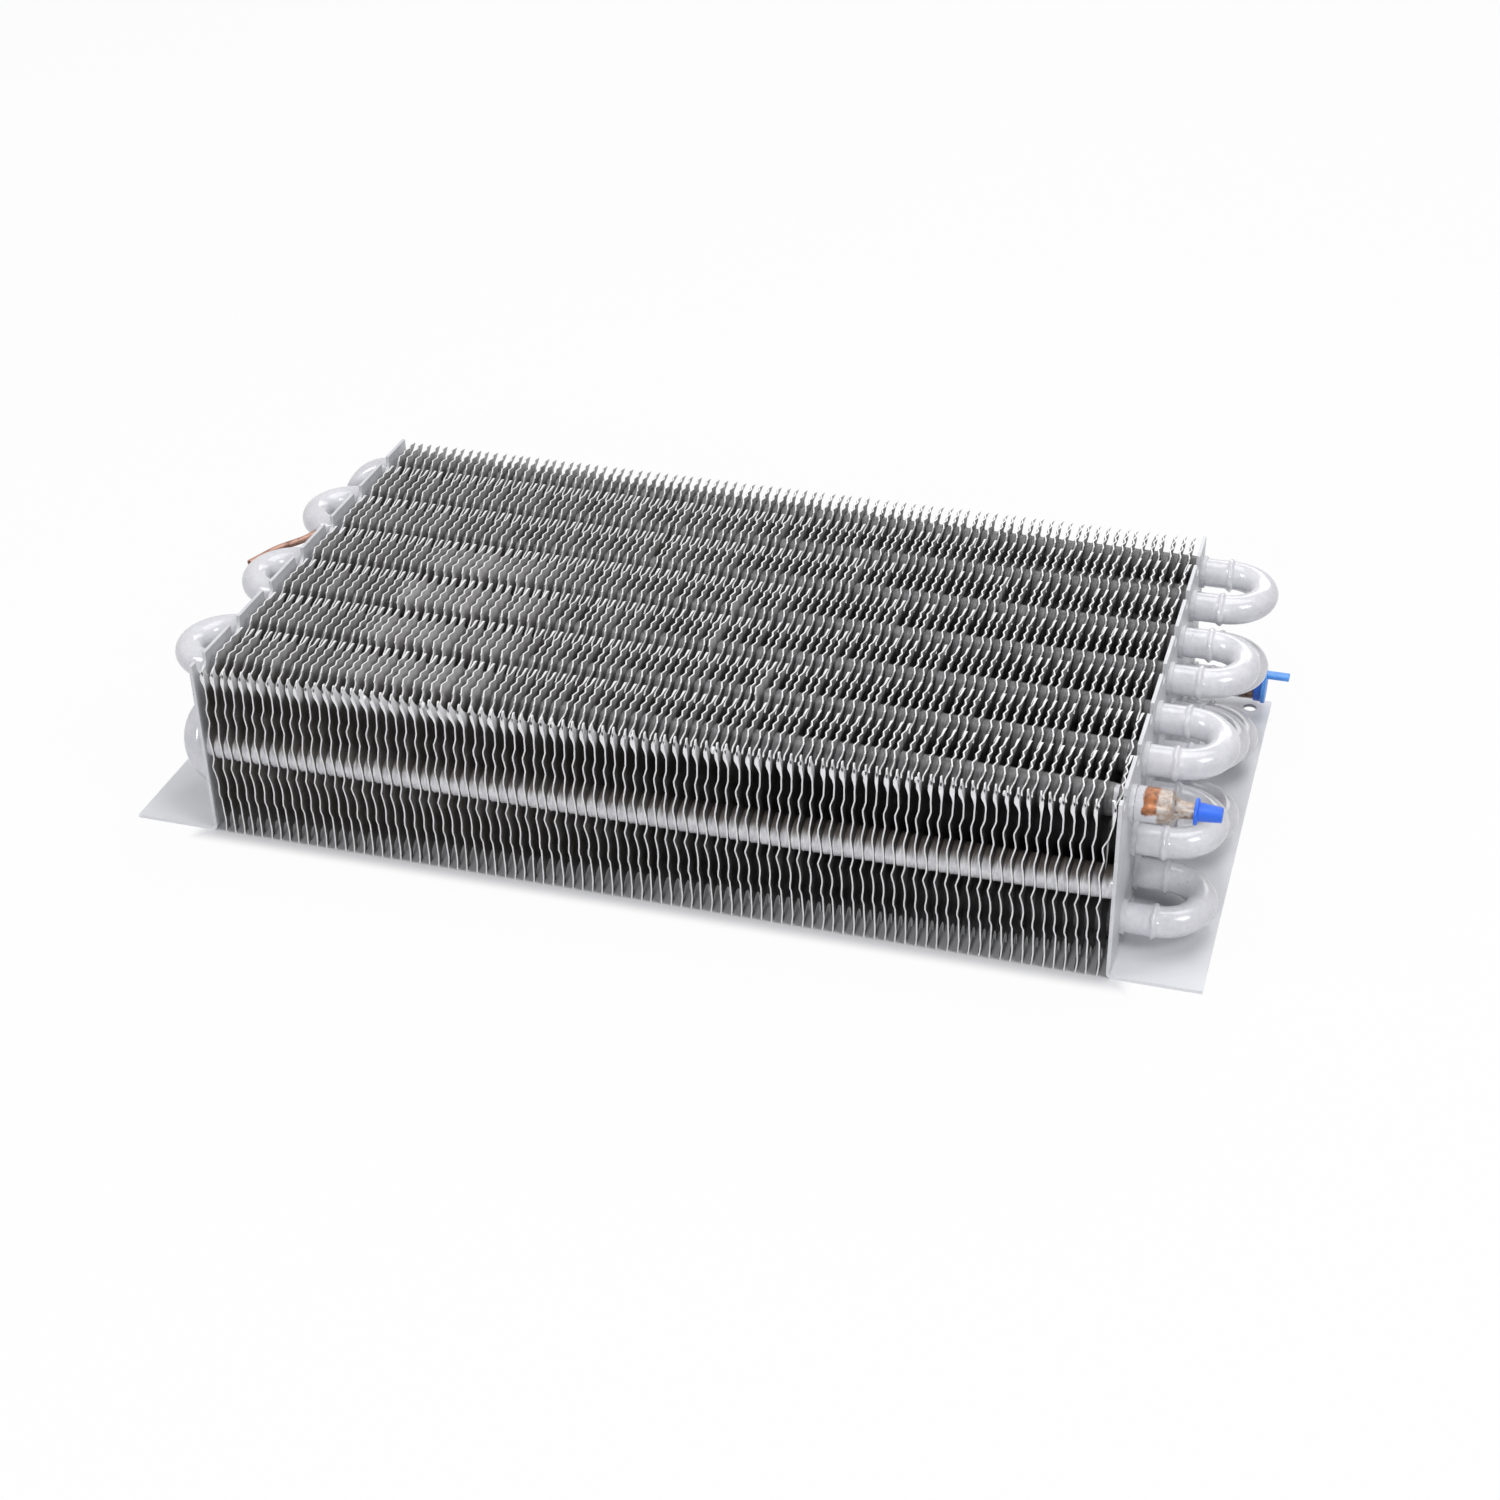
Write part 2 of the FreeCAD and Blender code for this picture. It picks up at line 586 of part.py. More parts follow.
def fin_group(label, first, count):
    """A few fins side by side; X = 0 is the left face of the first of them."""
    body = new_body(label)
    start = f"{FIN_STEP} * {first - (FIN_COUNT - 1) / 2} - Sizes.fin_thickness / 2"
    place(body, start, f"-{DEPTH} / 2", "Sizes.fin_ground_gap")
    fin_height = f"({HEIGHT} - Sizes.fin_ground_gap)"
    rough_depth, rough_height = size["tube_pitch"] * COLUMNS, size["row_pitch"] * ROWS
    outline = Drawing(body, "Outline", "YZ_Plane")
    outline.polygon([
        (0, 0, (0, 0)),
        (DEPTH, 0, (rough_depth, 0)),
        (DEPTH, fin_height, (rough_depth, rough_height)),
        (0, fin_height, (0, rough_height)),
    ])
    fin = pad(body, "Fin", outline, "Sizes.fin_thickness")
    if count > 1:
        repeat(body, "FinRow", fin, "X_Axis", count, f"{FIN_STEP} * {count - 1}")

    holes = Drawing(body, "Holes", "YZ_Plane")
    column_cuts(
        holes,
        "Sizes.fin_ground_gap",
        "Sizes.fin_hole_clearance",
        ("top", "middle", "bottom"),
        [(fin_height, 1, rough_height), ("0", -1, 0)],
    )
    cuts = cut_through(body, "Cuts", holes)
    repeat(body, "CutRow", cuts, "Y_Axis", COLUMNS, f"Sizes.tube_pitch * {COLUMNS - 1}")


end_plate("end_plate_left", -1)
end_plate("end_plate_right", 1)

hairpin("hairpin_top_1", "top", 1, inlet=True)
hairpin("hairpin_top_2", "top", 3)
last_top_hairpin = hairpin("hairpin_top_3", "top", 5)
hairpin("hairpin_diagonal_back", "middle", 7, slanted=True)
hairpin("hairpin_middle_1", "middle", 3)
hairpin("hairpin_middle_2", "middle", 5)
hairpin("hairpin_diagonal_front", "bottom", 1, slanted=True)
hairpin("hairpin_bottom_1", "bottom", 2)
hairpin("hairpin_bottom_2", "bottom", 4)
hairpin("hairpin_bottom_3", "bottom", 6, outlet=True)

for row, first_column in (("top", 2), ("middle", 2), ("bottom", 1)):
    for number in range(BENDS_IN_A_ROW):
        return_bend(f"return_bend_{row}_{number + 1}", row, first_column + 2 * number)

front_tube()
inlet_reducer()
inlet_cap()
outlet_cap()
feeder_tube(last_top_hairpin)

for number, first in enumerate(range(0, FIN_COUNT, FINS_IN_A_GROUP), start=1):
    fin_group(f"fins_{number:02d}", first, min(FINS_IN_A_GROUP, FIN_COUNT - first))

doc.recompute()

for item in doc.Objects:
    if {"Invalid", "Error"} & set(item.State):
        raise RuntimeError(f"{item.Label} did not build: {item.State}")
for piece in sub_parts:
    if piece.Shape.isNull() or not piece.Shape.isValid():
        raise RuntimeError(f"{piece.Label} has no valid shape")

os.makedirs("parts", exist_ok=True)
for piece in sub_parts:
    piece.Shape.exportStep(f"parts/{piece.Label}.step")
print(len(sub_parts), "sub-parts written")
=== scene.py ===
import math
import random

import bmesh
import bpy
from mathutils import Matrix, Vector, noise


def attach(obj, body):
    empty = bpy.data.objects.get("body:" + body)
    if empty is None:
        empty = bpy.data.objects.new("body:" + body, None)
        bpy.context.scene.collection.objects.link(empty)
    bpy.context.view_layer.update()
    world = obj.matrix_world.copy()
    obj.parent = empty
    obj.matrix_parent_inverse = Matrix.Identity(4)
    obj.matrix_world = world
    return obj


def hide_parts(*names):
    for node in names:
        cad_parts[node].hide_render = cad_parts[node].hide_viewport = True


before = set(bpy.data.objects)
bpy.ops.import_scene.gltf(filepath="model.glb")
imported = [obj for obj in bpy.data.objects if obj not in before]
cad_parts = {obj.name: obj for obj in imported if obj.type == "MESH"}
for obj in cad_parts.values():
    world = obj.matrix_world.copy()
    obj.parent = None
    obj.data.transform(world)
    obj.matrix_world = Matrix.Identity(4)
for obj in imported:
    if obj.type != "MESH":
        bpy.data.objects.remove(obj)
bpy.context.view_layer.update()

# The coil's own pattern, in metres: X along the tubes, -Y the front, Z up
mm = 0.001
coil = {
    "overPlates": 390 * mm,
    "tubePitch": 31.75 * mm,
    "rowPitch": 27.5 * mm,
    "columns": 7,
    "tubeRadius": 6.35 * mm,
    "boreRadius": 5.75 * mm,
    "plate": 1.5 * mm,
    "firstTube": {"bottom": 0.75, "middle": 0.25, "top": 0.75},  # in pitches from the front edge
    "level": {"bottom": 0.5, "middle": 1.5, "top": 2.5},  # in row pitches
    "finCount": 89,
    "finEndGap": 4 * mm,
    "finsToANode": 4,
}
coil["depth"] = coil["tubePitch"] * coil["columns"]
coil["height"] = coil["rowPitch"] * 3
coil["rightFace"] = coil["overPlates"] / 2
coil["finStep"] = (coil["overPlates"] - 2 * coil["plate"] - 2 * coil["finEndGap"]) / (coil["finCount"] - 1)


def tubeAt(row, column):  # where a tube's centre line crosses X = 0
    y = coil["tubePitch"] * (coil["firstTube"][row] + column - 1) - coil["depth"] / 2
    return Vector((0, y, coil["rowPitch"] * coil["level"][row]))


def finAt(number):  # where the middle of a fin lies along X
    return coil["finStep"] * (number - (coil["finCount"] - 1) / 2)


def smoothStep(low, high, value):  # 0 below the low edge, 1 above the high one
    share = min(max((value - low) / (high - low), 0), 1)
    return share * share * (3 - 2 * share)


def fade(low, high, value):  # 1 below the low edge, 0 above the high one
    return 1 - smoothStep(low, high, value)


def band(edges, value):  # 0 outside the four edges, 1 between the middle two
    return smoothStep(edges[0], edges[1], value) * fade(edges[2], edges[3], value)


# Camera, at the photograph's own angle
view = {
    "place": (0.2946, -0.8953, 0.6144),
    "turnDegrees": (57.089, 1.005, 16.763),
    "lens": 60.12,
    "sensor": 36,
}


def setCamera():
    lens = bpy.data.cameras.new("camera")
    lens.lens = view["lens"]
    lens.sensor_width = view["sensor"]
    camera = bpy.data.objects.new("camera", lens)
    camera.location = view["place"]
    camera.rotation_euler = [math.radians(angle) for angle in view["turnDegrees"]]
    bpy.context.collection.objects.link(camera)
    bpy.context.scene.camera = camera


def shade(red, green, blue):  # a colour given 0 to 255, as the shader's own
    def straight(value):
        value /= 255
        return value / 12.92 if value <= 0.04045 else ((value + 0.055) / 1.055) ** 2.4

    return (straight(red), straight(green), straight(blue), 1)


noiseMiddle = 0.5  # what a noise varies about


# Shader maths: a Wire is a socket that can be added, multiplied and so on
class Wire:
    def __init__(self, finish, socket):
        self.finish = finish
        self.socket = socket

    def join(self, operation, first, second=None):
        sockets = {0: first} if second is None else {0: first, 1: second}
        return self.finish.add("Math", {"operation": operation}, sockets)

    def __add__(self, other):
        return self.join("ADD", self, other)

    __radd__ = __add__

    def __sub__(self, other):
        return self.join("SUBTRACT", self, other)

    def __rsub__(self, other):
        return self.join("SUBTRACT", other, self)

    def __mul__(self, other):
        return self.join("MULTIPLY", self, other)

    __rmul__ = __mul__

    def size(self):
        return self.join("ABSOLUTE", self)

    def greater(self, other):
        return self.join("MAXIMUM", self, other)

    def above(self, edge, softness):  # 0 below the edge, 1 above it
        return self.finish.add(
            "MapRange",
            {"interpolation_type": "SMOOTHSTEP"},
            {"Value": self, "From Min": edge - softness / 2, "From Max": edge + softness / 2},
        )

    def below(self, edge, softness):
        return 1 - self.above(edge, softness)

    def patches(self, softness):  # patches of 0 and 1 out of a noise
        return self.above(noiseMiddle, softness)

    def swing(self, size):  # a noise moved to lie about zero
        return (self - noiseMiddle) * size


class Finish:
    def __init__(self, name):
        self.material = bpy.data.materials.new(name)
        self.material.use_nodes = True
        self.tree = self.material.node_tree
        self.shader = self.tree.nodes["Principled BSDF"]
        self.place = self.add("TexCoord", out="Object")

    def add(self, kind, settings=None, sockets=None, out=0):
        node = self.tree.nodes.new("ShaderNode" + kind)
        for name, value in (settings or {}).items():
            setattr(node, name, value)
        for name, value in (sockets or {}).items():
            self.feed(node.inputs[name], value)
        return Wire(self, node.outputs[out])

    def feed(self, socket, value):
        if isinstance(value, Wire):
            self.tree.links.new(value.socket, socket)
        else:
            socket.default_value = value

    def grain(self, size, detail, stretch=(1, 1, 1)):  # noise; size in metres
        place = self.place
        if stretch != (1, 1, 1):
            place = self.add("Mapping", None, {"Vector": place, "Scale": stretch})
        return self.add("TexNoise", None, {"Vector": place, "Scale": 1 / size, "Detail": detail})

    def specks(self, size, reach):  # small round spots, 1 in the middle
        cells = self.add("TexVoronoi", None, {"Vector": self.place, "Scale": 1 / size})
        return cells.below(reach, reach / 2)

    def axis(self, name):
        return self.add("SeparateXYZ", None, {0: self.place}, out=name)

    def blend(self, factor, *colours):  # each colour is a wire, or three numbers given 0 to 255
        first, second = [shade(*colour) if isinstance(colour, tuple) else colour for colour in colours]
        sockets = {0: factor, 6: first, 7: second}  # the Mix node's sockets for colours
        return self.add("Mix", {"data_type": "RGBA"}, sockets, out=2)

    def set(self, **sockets):
        names = {
            "colour": "Base Color",
            "roughness": "Roughness",
            "metallic": "Metallic",
            "specular": "Specular IOR Level",
            "glow": "Subsurface Weight",
            "glowDepth": "Subsurface Scale",
        }
        for name, value in sockets.items():
            self.feed(self.shader.inputs[names[name]], value)

    def bump(self, height, distance, strength):
        sockets = {"Height": height, "Distance": distance, "Strength": strength}
        self.feed(self.shader.inputs["Normal"], self.add("Bump", None, sockets))


# Dip paint on tubes, plates and fins
# Below, a noise is its size, detail and stretch, an edge is where it lies and how soft it is, and a bump is
# its height and strength
paint = {
    "tube": {"light": (208, 208, 213), "dark": (194, 194, 200), "dust": (160, 157, 153), "gloss": 0.12},
    "plate": {"light": (202, 203, 207), "dark": (190, 191, 195), "dust": (150, 147, 143), "gloss": 0.4},
    "fin": {"light": (188, 187, 189), "dark": (166, 164, 164), "dust": (116, 108, 102), "gloss": 0.34},
    "cloudNoise": (9 * mm, 3),
    "mottleNoise": (1.6 * mm, 3),
    "peelNoise": (0.9 * mm, 2),
    "cloudShare": 0.6,  # of the patches; the rest comes from the mottle
    "patchSoftness": 0.35,
    "specks": (7 * mm, 0.07),  # how far apart, and how large for that
    "speckSoftness": 0.2,
    "dustCover": 0.7,
    "mottleRoughness": 0.16,
    "dustRoughness": 0.2,
    "bump": (0.1 * mm, 0.6),
    # painted light: the flange, which faces up, is lighter than the plate's upright face
    "flange": (214, 215, 219),
    "flangeEdge": (2.2 * mm, 1.4 * mm),
    "flangeCover": 0.8,
}


def paintBase(finish, look):  # patchy, dusty paint; gives its colour and its patches
    cloud = finish.grain(*paint["cloudNoise"])
    mottle = finish.grain(*paint["mottleNoise"])
    peel = finish.grain(*paint["peelNoise"])
    patchy = cloud * paint["cloudShare"] + mottle * (1 - paint["cloudShare"])
    patchy = patchy.patches(paint["patchSoftness"])
    dust = finish.specks(*paint["specks"]) * cloud.patches(paint["speckSoftness"])
    colour = finish.blend(patchy, look["light"], look["dark"])
    colour = finish.blend(dust * paint["dustCover"], colour, look["dust"])
    roughness = look["gloss"] + mottle.swing(paint["mottleRoughness"]) + dust * paint["dustRoughness"]
    finish.set(roughness=roughness)
    finish.bump(peel * 0.5 + mottle * 0.5 + cloud, *paint["bump"])
    return colour, patchy


def coverPatchily(mask, cover, patchy):  # a mask that covers fully only where the paint is patchy
    return mask * (cover + patchy * (1 - cover))


def tubeFinish(name):
    finish = Finish(name)
    finish.set(colour=paintBase(finish, paint["tube"])[0])
    return finish.material


def plateFinish(name):  # the flange is painted lighter, as painted light on a face that looks up
    finish = Finish(name)
    colour, patchy = paintBase(finish, paint["plate"])
    # painted light on the flange
    flange = coverPatchily(finish.axis("Z").below(*paint["flangeEdge"]), paint["flangeCover"], patchy)
    finish.set(colour=finish.blend(flange, colour, paint["flange"]))
    return finish.material


# A fin is lighter on its edges, partly from gathered dip paint and partly as a painted highlight; its front
# prongs carry a painted highlight, and painted shade lies further down
finLook = {
    "shadeLeft": (80, 77, 74),  # painted shade deep between the fins, towards the coil's left and right ends
    "shadeRight": (30, 28, 27),
    "deepFrom": 1.5 * mm,  # below the top edge
    "deepTo": 9.5 * mm,
    "deepCover": 0.85,
    # painted highlight on the front prongs
    "prong": (222, 222, 224),
    "prongBack": (4.5 * mm, 2 * mm),
    "prongFoot": (10 * mm, 5 * mm),
    "edge": (220, 220, 221),  # edges lighter: partly dip paint gathered on them, partly a painted highlight
    "edgeFacing": (0.72, 0.3),  # how far an edge's faces may turn along the tubes, 1 is all the way
    "edgeCover": 0.8,
}


def finFinish(name):
    finish = Finish(name)
    colour, patchy = paintBase(finish, paint["fin"])
    down = coil["height"] - finish.axis("Z")
    inward = finish.axis("Y") + coil["depth"] / 2
    middle = (finLook["deepFrom"] + finLook["deepTo"]) / 2
    # painted shade: darker further down from the top edge, and darker still towards the right end
    deep = down.above(middle, finLook["deepTo"] - finLook["deepFrom"])
    rightward = finish.axis("X").above(0, coil["rightFace"])
    shadeBetweenFins = finish.blend(rightward, finLook["shadeLeft"], finLook["shadeRight"])
    colour = finish.blend(coverPatchily(deep, finLook["deepCover"], patchy), colour, shadeBetweenFins)
    # painted highlight on the front prongs, fading down and back
    prong = inward.below(*finLook["prongBack"]) * down.below(*finLook["prongFoot"])
    colour = finish.blend(prong, colour, finLook["prong"])
    # lighter edges: partly gathered dip paint, partly a painted highlight
    normal = finish.add("NewGeometry", out="Normal")
    along = finish.add("SeparateXYZ", None, {0: normal}, out="X")
    edge = coverPatchily(along.size().below(*finLook["edgeFacing"]), finLook["edgeCover"], patchy)
    finish.set(colour=finish.blend(edge, colour, finLook["edge"]))
    return finish.material


# The tube between the fins is painted dark inside the coil as painted shade, and light at the front edge as
# painted light, with a darker top above the front tube
collarLook = {
    # painted shade inside the coil, in two patchy tones
    "light": (122, 121, 124),
    "dark": (88, 86, 86),
    # painted light on the collars at the front edge
    "front": (230, 230, 232),
    # darker, brownish top above the front tube's centre line, with drip-shaped edges
    "darkened": (98, 90, 86),
    "darkenedEdge": (3.4 * mm, 5 * mm),  # above the front tube's centre line
    "streakNoise": (0.6 * mm, 3, (1, 0.12, 0.12)),
    "stainNoise": (4 * mm, 3),
    "dripNoise": (1.6 * mm, 3, (1, 0.15, 0.15)),
    "dripLength": 8 * mm,
    "patchSoftness": 0.3,
    "frontSoftness": 1 * mm,
    "roughness": 0.32,
    "streakRoughness": 0.2,
    "bump": (0.1 * mm, 0.7),
}


def collarFinish(name):
    finish = Finish(name)
    streak = finish.grain(*collarLook["streakNoise"])
    stain = finish.grain(*collarLook["stainNoise"])
    drips = finish.grain(*collarLook["dripNoise"])
    patches = (streak * 0.5 + stain * 0.5).patches(collarLook["patchSoftness"])
    # painted shade inside the coil
    inner = finish.blend(patches, collarLook["light"], collarLook["dark"])
    softness = collarLook["frontSoftness"]
    front = (finish.axis("Y") + coil["depth"] / 2).below(coil["tubePitch"] / 2, softness)
    front = front * finish.axis("Z").below(coil["rowPitch"] * 2, softness)
    rise = finish.axis("Z") - tubeAt("middle", 1).z + drips.swing(collarLook["dripLength"])
    # painted light at the front edge
    outer = finish.blend(patches, collarLook["front"], paint["tube"]["dark"])
    # darker top above the front tube's centre line
    outer = finish.blend(rise.above(*collarLook["darkenedEdge"]), outer, collarLook["darkened"])
    roughness = collarLook["roughness"] + streak * collarLook["streakRoughness"]
    finish.set(colour=finish.blend(front, inner, outer), roughness=roughness)
    finish.bump(streak, *collarLook["bump"])
    return finish.material


# Copper, bare on the small open tube and on a part of the two stubs
copperLook = {
    "bright": (158, 100, 62),
    "rose": (158, 116, 98),
    "pink": (176, 142, 128),
    "brown": (98, 70, 58),
    "streakNoise": (3 * mm, 4, (0.3, 1, 1)),
    "stainNoise": (6 * mm, 4),
    "darkenedEdge": (0.58, 0.2),
    "stainCover": 0.8,
    "roughness": 0.32,
    "stainRoughness": 0.2,
    "metallic": 0.4,
    "bump": (0.05 * mm, 0.4),
}


def copperFinish(name):
    finish = Finish(name)
    streak = finish.grain(*copperLook["streakNoise"])
    stain = finish.grain(*copperLook["stainNoise"])
    colour = finish.blend(streak, copperLook["rose"], copperLook["pink"])
    darkened = stain.above(*copperLook["darkenedEdge"]) * copperLook["stainCover"]
    finish.set(
        colour=finish.blend(darkened, colour, copperLook["brown"]),
        roughness=copperLook["roughness"] + stain * copperLook["stainRoughness"],
        metallic=copperLook["metallic"],
    )
    finish.bump(streak, *copperLook["bump"])
    return finish.material


# Plastic of the two caps
plastic = {
    "inlet": (40, 104, 222),
    "outlet": (92, 162, 240),
    "deep": (28, 76, 186),  # in clouds, and on the outlet cap's skirt
    "outletSkirtEnd": 31.8 * mm,  # from the plate's face
    "skirtSoftness": 0.4 * mm,
    "skirtCover": 0.7,
    "cloudNoise": (4 * mm, 3),
    "cloudSoftness": 0.5,
    "cloudCover": 0.3,
    "scuffNoise": (0.7 * mm, 3, (0.3, 1, 1)),
    "roughness": 0.38,
    "scuffRoughness": 0.14,
    "glow": 0.08,
    "glowDepth": 0.6 * mm,
    "bump": (0.03 * mm, 0.5),
}


def plasticFinish(name, look, skirtEnd=0):
    finish = Finish(name)
    cloud = finish.grain(*plastic["cloudNoise"]).patches(plastic["cloudSoftness"])
    scuff = finish.grain(*plastic["scuffNoise"])
    skirt = (finish.axis("X") - coil["rightFace"]).below(skirtEnd, plastic["skirtSoftness"])
    deep = cloud * plastic["cloudCover"] + skirt * plastic["skirtCover"]
    finish.set(
        colour=finish.blend(deep, look, plastic["deep"]),
        roughness=plastic["roughness"] + scuff * plastic["scuffRoughness"],
        glow=plastic["glow"],
        glowDepth=plastic["glowDepth"],
    )
    finish.bump(scuff, *plastic["bump"])
    return finish.material


# Finishes of the two stubs, which change along X from the plate's face
stubLook = {
    "tan": (152, 133, 118),
    "solder": (174, 168, 164),
    "paintEnd": (5.4 * mm, 0.8 * mm),
    "copperEnd": (10.8 * mm, 1.2 * mm),
    "copperFoot": (-0.4 * mm, 1.6 * mm),  # above the tube's centre line
    "outletPaintEnd": (22.3 * mm, 0.6 * mm),
    "roughNoise": (3 * mm, 4),
    "stainNoise": (2.2 * mm, 5),
    "raggedness": 3.2 * mm,  # of the lines where a finish ends
    "footRaggedness": 4 * mm,
    "outletRaggedness": 2 * mm,
    "darkenedEdge": (0.55, 0.3),
    "solderSoftness": 0.35,
    "brownEdge": (0.6, 0.15),
    "brownCover": 0.8,
    "outletSoftness": 0.4,
    "roughness": 0.3,
    "stainRoughness": 0.25,
    "outletRoughness": 0.15,  # more than the paint's
    "copperMetallic": 0.35,
    "tanMetallic": 0.3,
    "outletMetallic": 0.6,
    "bump": (0.15 * mm, 0.8),
    "outletBump": (0.12 * mm, 0.5),
}


def reducerFinish(name):  # paint, bare copper where the flame cleaned it, then tarnish and solder
    finish = Finish(name)
    rough = finish.grain(*stubLook["roughNoise"])
    stain = finish.grain(*stubLook["stainNoise"])
    x = finish.axis("X") - coil["rightFace"] + rough.swing(stubLook["raggedness"])
    rise = finish.axis("Z") - tubeAt("top", 1).z + rough.swing(stubLook["footRaggedness"])
    painted = finish.blend(rough, paint["tube"]["light"], paint["tube"]["dark"])
    copper = finish.blend(stain.above(*stubLook["darkenedEdge"]), copperLook["bright"], copperLook["brown"])
    tan = finish.blend(stain.patches(stubLook["solderSoftness"]), stubLook["tan"], stubLook["solder"])
    brown = rough.above(*stubLook["brownEdge"]) * stubLook["brownCover"]
    tan = finish.blend(brown, tan, copperLook["brown"])
    patch = x.above(*stubLook["paintEnd"]) * rise.above(*stubLook["copperFoot"])
    bare = x.above(*stubLook["copperEnd"])
    finish.set(
        colour=finish.blend(bare, finish.blend(patch, painted, copper), tan),
        roughness=stubLook["roughness"] + stain * stubLook["stainRoughness"],
        metallic=patch * (1 - bare) * stubLook["copperMetallic"] + bare * stubLook["tanMetallic"],
    )
    finish.bump(stain + rough, *stubLook["bump"])
    return finish.material


def outletFinish(name):  # the paint ends short of the cap
    finish = Finish(name)
    rough = finish.grain(*stubLook["roughNoise"])
    x = finish.axis("X") - coil["rightFace"] + rough.swing(stubLook["outletRaggedness"])
    bare = x.above(*stubLook["outletPaintEnd"])
    painted = finish.blend(rough, paint["tube"]["light"], paint["tube"]["dark"])
    patches = rough.patches(stubLook["outletSoftness"])
    finish.set(
        colour=finish.blend(bare, painted, finish.blend(patches, copperLook["brown"], stubLook["tan"])),
        roughness=paint["tube"]["gloss"] + bare * stubLook["outletRoughness"],
        metallic=bare * stubLook["outletMetallic"],
    )
    finish.bump(rough, *stubLook["outletBump"])
    return finish.material


finishes = {
    "tube": tubeFinish("tube_paint"),
    "plate": plateFinish("plate_paint"),
    "fin": finFinish("fin_paint"),
    "collar": collarFinish("collar_paint"),
    "reducer": reducerFinish("reducer_stained"),
    "outlet": outletFinish("outlet_stained"),
    "copper": copperFinish("bare_copper"),
    "inletCap": plasticFinish("inlet_cap_plastic", plastic["inlet"]),
    "outletCap": plasticFinish("outlet_cap_plastic", plastic["outlet"], plastic["outletSkirtEnd"]),
}
print("finishes ready")


# Meshes, and how near points have to be to be merged
weld = {"lathe": 0.002 * mm, "bend": 0.01 * mm, "feeder": 0.005 * mm, "cut": 0.002 * mm}


def addObject(bm, name, finish, replaced, crease=40, second=None):
    mesh = bpy.data.meshes.new(name)
    bm.to_mesh(mesh)
    bm.free()
    mesh.shade_smooth()
    mesh.set_sharp_from_angle(angle=math.radians(crease))
    mesh.materials.append(finishes[finish])
    if second:
        mesh.materials.append(finishes[second])
    piece = bpy.data.objects.new(name, mesh)
    bpy.context.collection.objects.link(piece)
    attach(piece, "root")
    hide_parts(replaced)


def lathe(bm, profile, centre, steps):  # (x, radius) pairs, turned about the X line through a centre
    points = [bm.verts.new((x, centre.y + radius, centre.z)) for x, radius in profile]
    edges = [bm.edges.new(pair) for pair in zip(points, points[1:])]
    bmesh.ops.spin(
        bm,
        geom=points + edges,
        cent=centre,
        axis=(1, 0, 0),
        angle=2 * math.pi,
        steps=steps,
        use_merge=True,
    )
    bmesh.ops.remove_doubles(bm, verts=bm.verts, dist=weld["lathe"])


def corners(items):  # the points of some edges or faces, in a fixed order
    return list(dict.fromkeys(point for item in items for point in item.verts))


def halfTurn(bm, centre, turn, steps):  # joins the open ends of two legs by a bend
    ring = [edge for edge in bm.edges if edge.is_boundary and edge.verts[0].co.y < centre.y]
    bmesh.ops.spin(bm, geom=corners(ring) + ring, cent=centre, axis=(0, 0, 1), angle=turn, steps=steps)
    bmesh.ops.remove_doubles(bm, verts=bm.verts, dist=weld["bend"])
    bmesh.ops.recalc_face_normals(bm, faces=bm.faces)


# Tubes
tube = {
    "steps": 40,
    "bendSteps": 30,
    "straight": 3.9 * mm,  # plate to the start of a hairpin's bend
    "mouth": 13.6 * mm,  # plate to the mouth of a socket
    "inletEnd": 15.25 * mm,
    "outletEnd": 31.9 * mm,
    "socketDepth": 4 * mm,
    "lip": (  # beyond the mouth, and above the tube, in millimetres
        (1.25, -0.1), (0.85, 0.08), (0.45, 0.35), (0.1, 0.7), (-0.3, 0.92), (-0.9, 0.92),
        (-1.3, 0.7), (-1.7, 0.36), (-2.2, 0.12), (-2.9, 0),
    ),
    "lipReach": 4 * mm,  # how far from the mouth a lip is uneven
    "lipRise": (0.05 * mm, 1.5 * mm),  # and how far above the tube
    "lipHeight": 0.9 * mm,
    "unevenness": 0.45 * mm,
    "unevenWaves": 2.3,
    "wobble": 0.7 * mm,
    "wobbleWaves": 1.7,
    "noiseRange": 9,
    "drip": 0.9 * mm,
    "dripRange": (0.3, 1.4),
    "dripFrom": 0.93,  # how straight down a place must face to hold a drip
    "endRound": 0.3 * mm,
    "spigotGap": 0.05 * mm,
    "spigotShort": 0.1 * mm,
    "spigotTaper": 0.4 * mm,
    "frontGap": 0.05 * mm,  # between the front tube's ends and the plates
}


def legProfile(end, bend, lipped):  # from a leg's closed right end to the start of its bend
    radius, bore, corner = coil["tubeRadius"], coil["boreRadius"], tube["endRound"]
    if not lipped:
        return [(end, 0), (end, radius - corner), (end - corner, radius), (bend, radius)]
    lip = [(end + x * mm, radius + rise * mm) for x, rise in tube["lip"]]
    floor = end - tube["socketDepth"]
    return [(floor, 0), (floor, bore), (lip[0][0], bore)] + lip + [(bend, radius)]


def roughenLip(bm, mouth, centre, dice):  # paint gathers unevenly on a lip and hangs from its foot
    shift = Vector((dice.uniform(0, tube["noiseRange"]), dice.uniform(0, tube["noiseRange"]), 0))
    hang = tube["drip"] * dice.uniform(*tube["dripRange"])
    least, most = tube["lipRise"]
    for point in bm.verts:
        out = Vector((0, point.co.y - centre.y, point.co.z - centre.z))
        rise = out.length - coil["tubeRadius"]
        if abs(point.co.x - mouth) > tube["lipReach"] or not least < rise < most:
            continue
        out.normalize()
        share = min(rise / tube["lipHeight"], 1)
        drop = max(-out.z - tube["dripFrom"], 0) / (1 - tube["dripFrom"])
        swell = noise.noise(out * tube["unevenWaves"] + shift) * tube["unevenness"]
        point.co += out * share * (drop * hang + swell)
        point.co.x += share * noise.noise(out * tube["wobbleWaves"] - shift) * tube["wobble"]


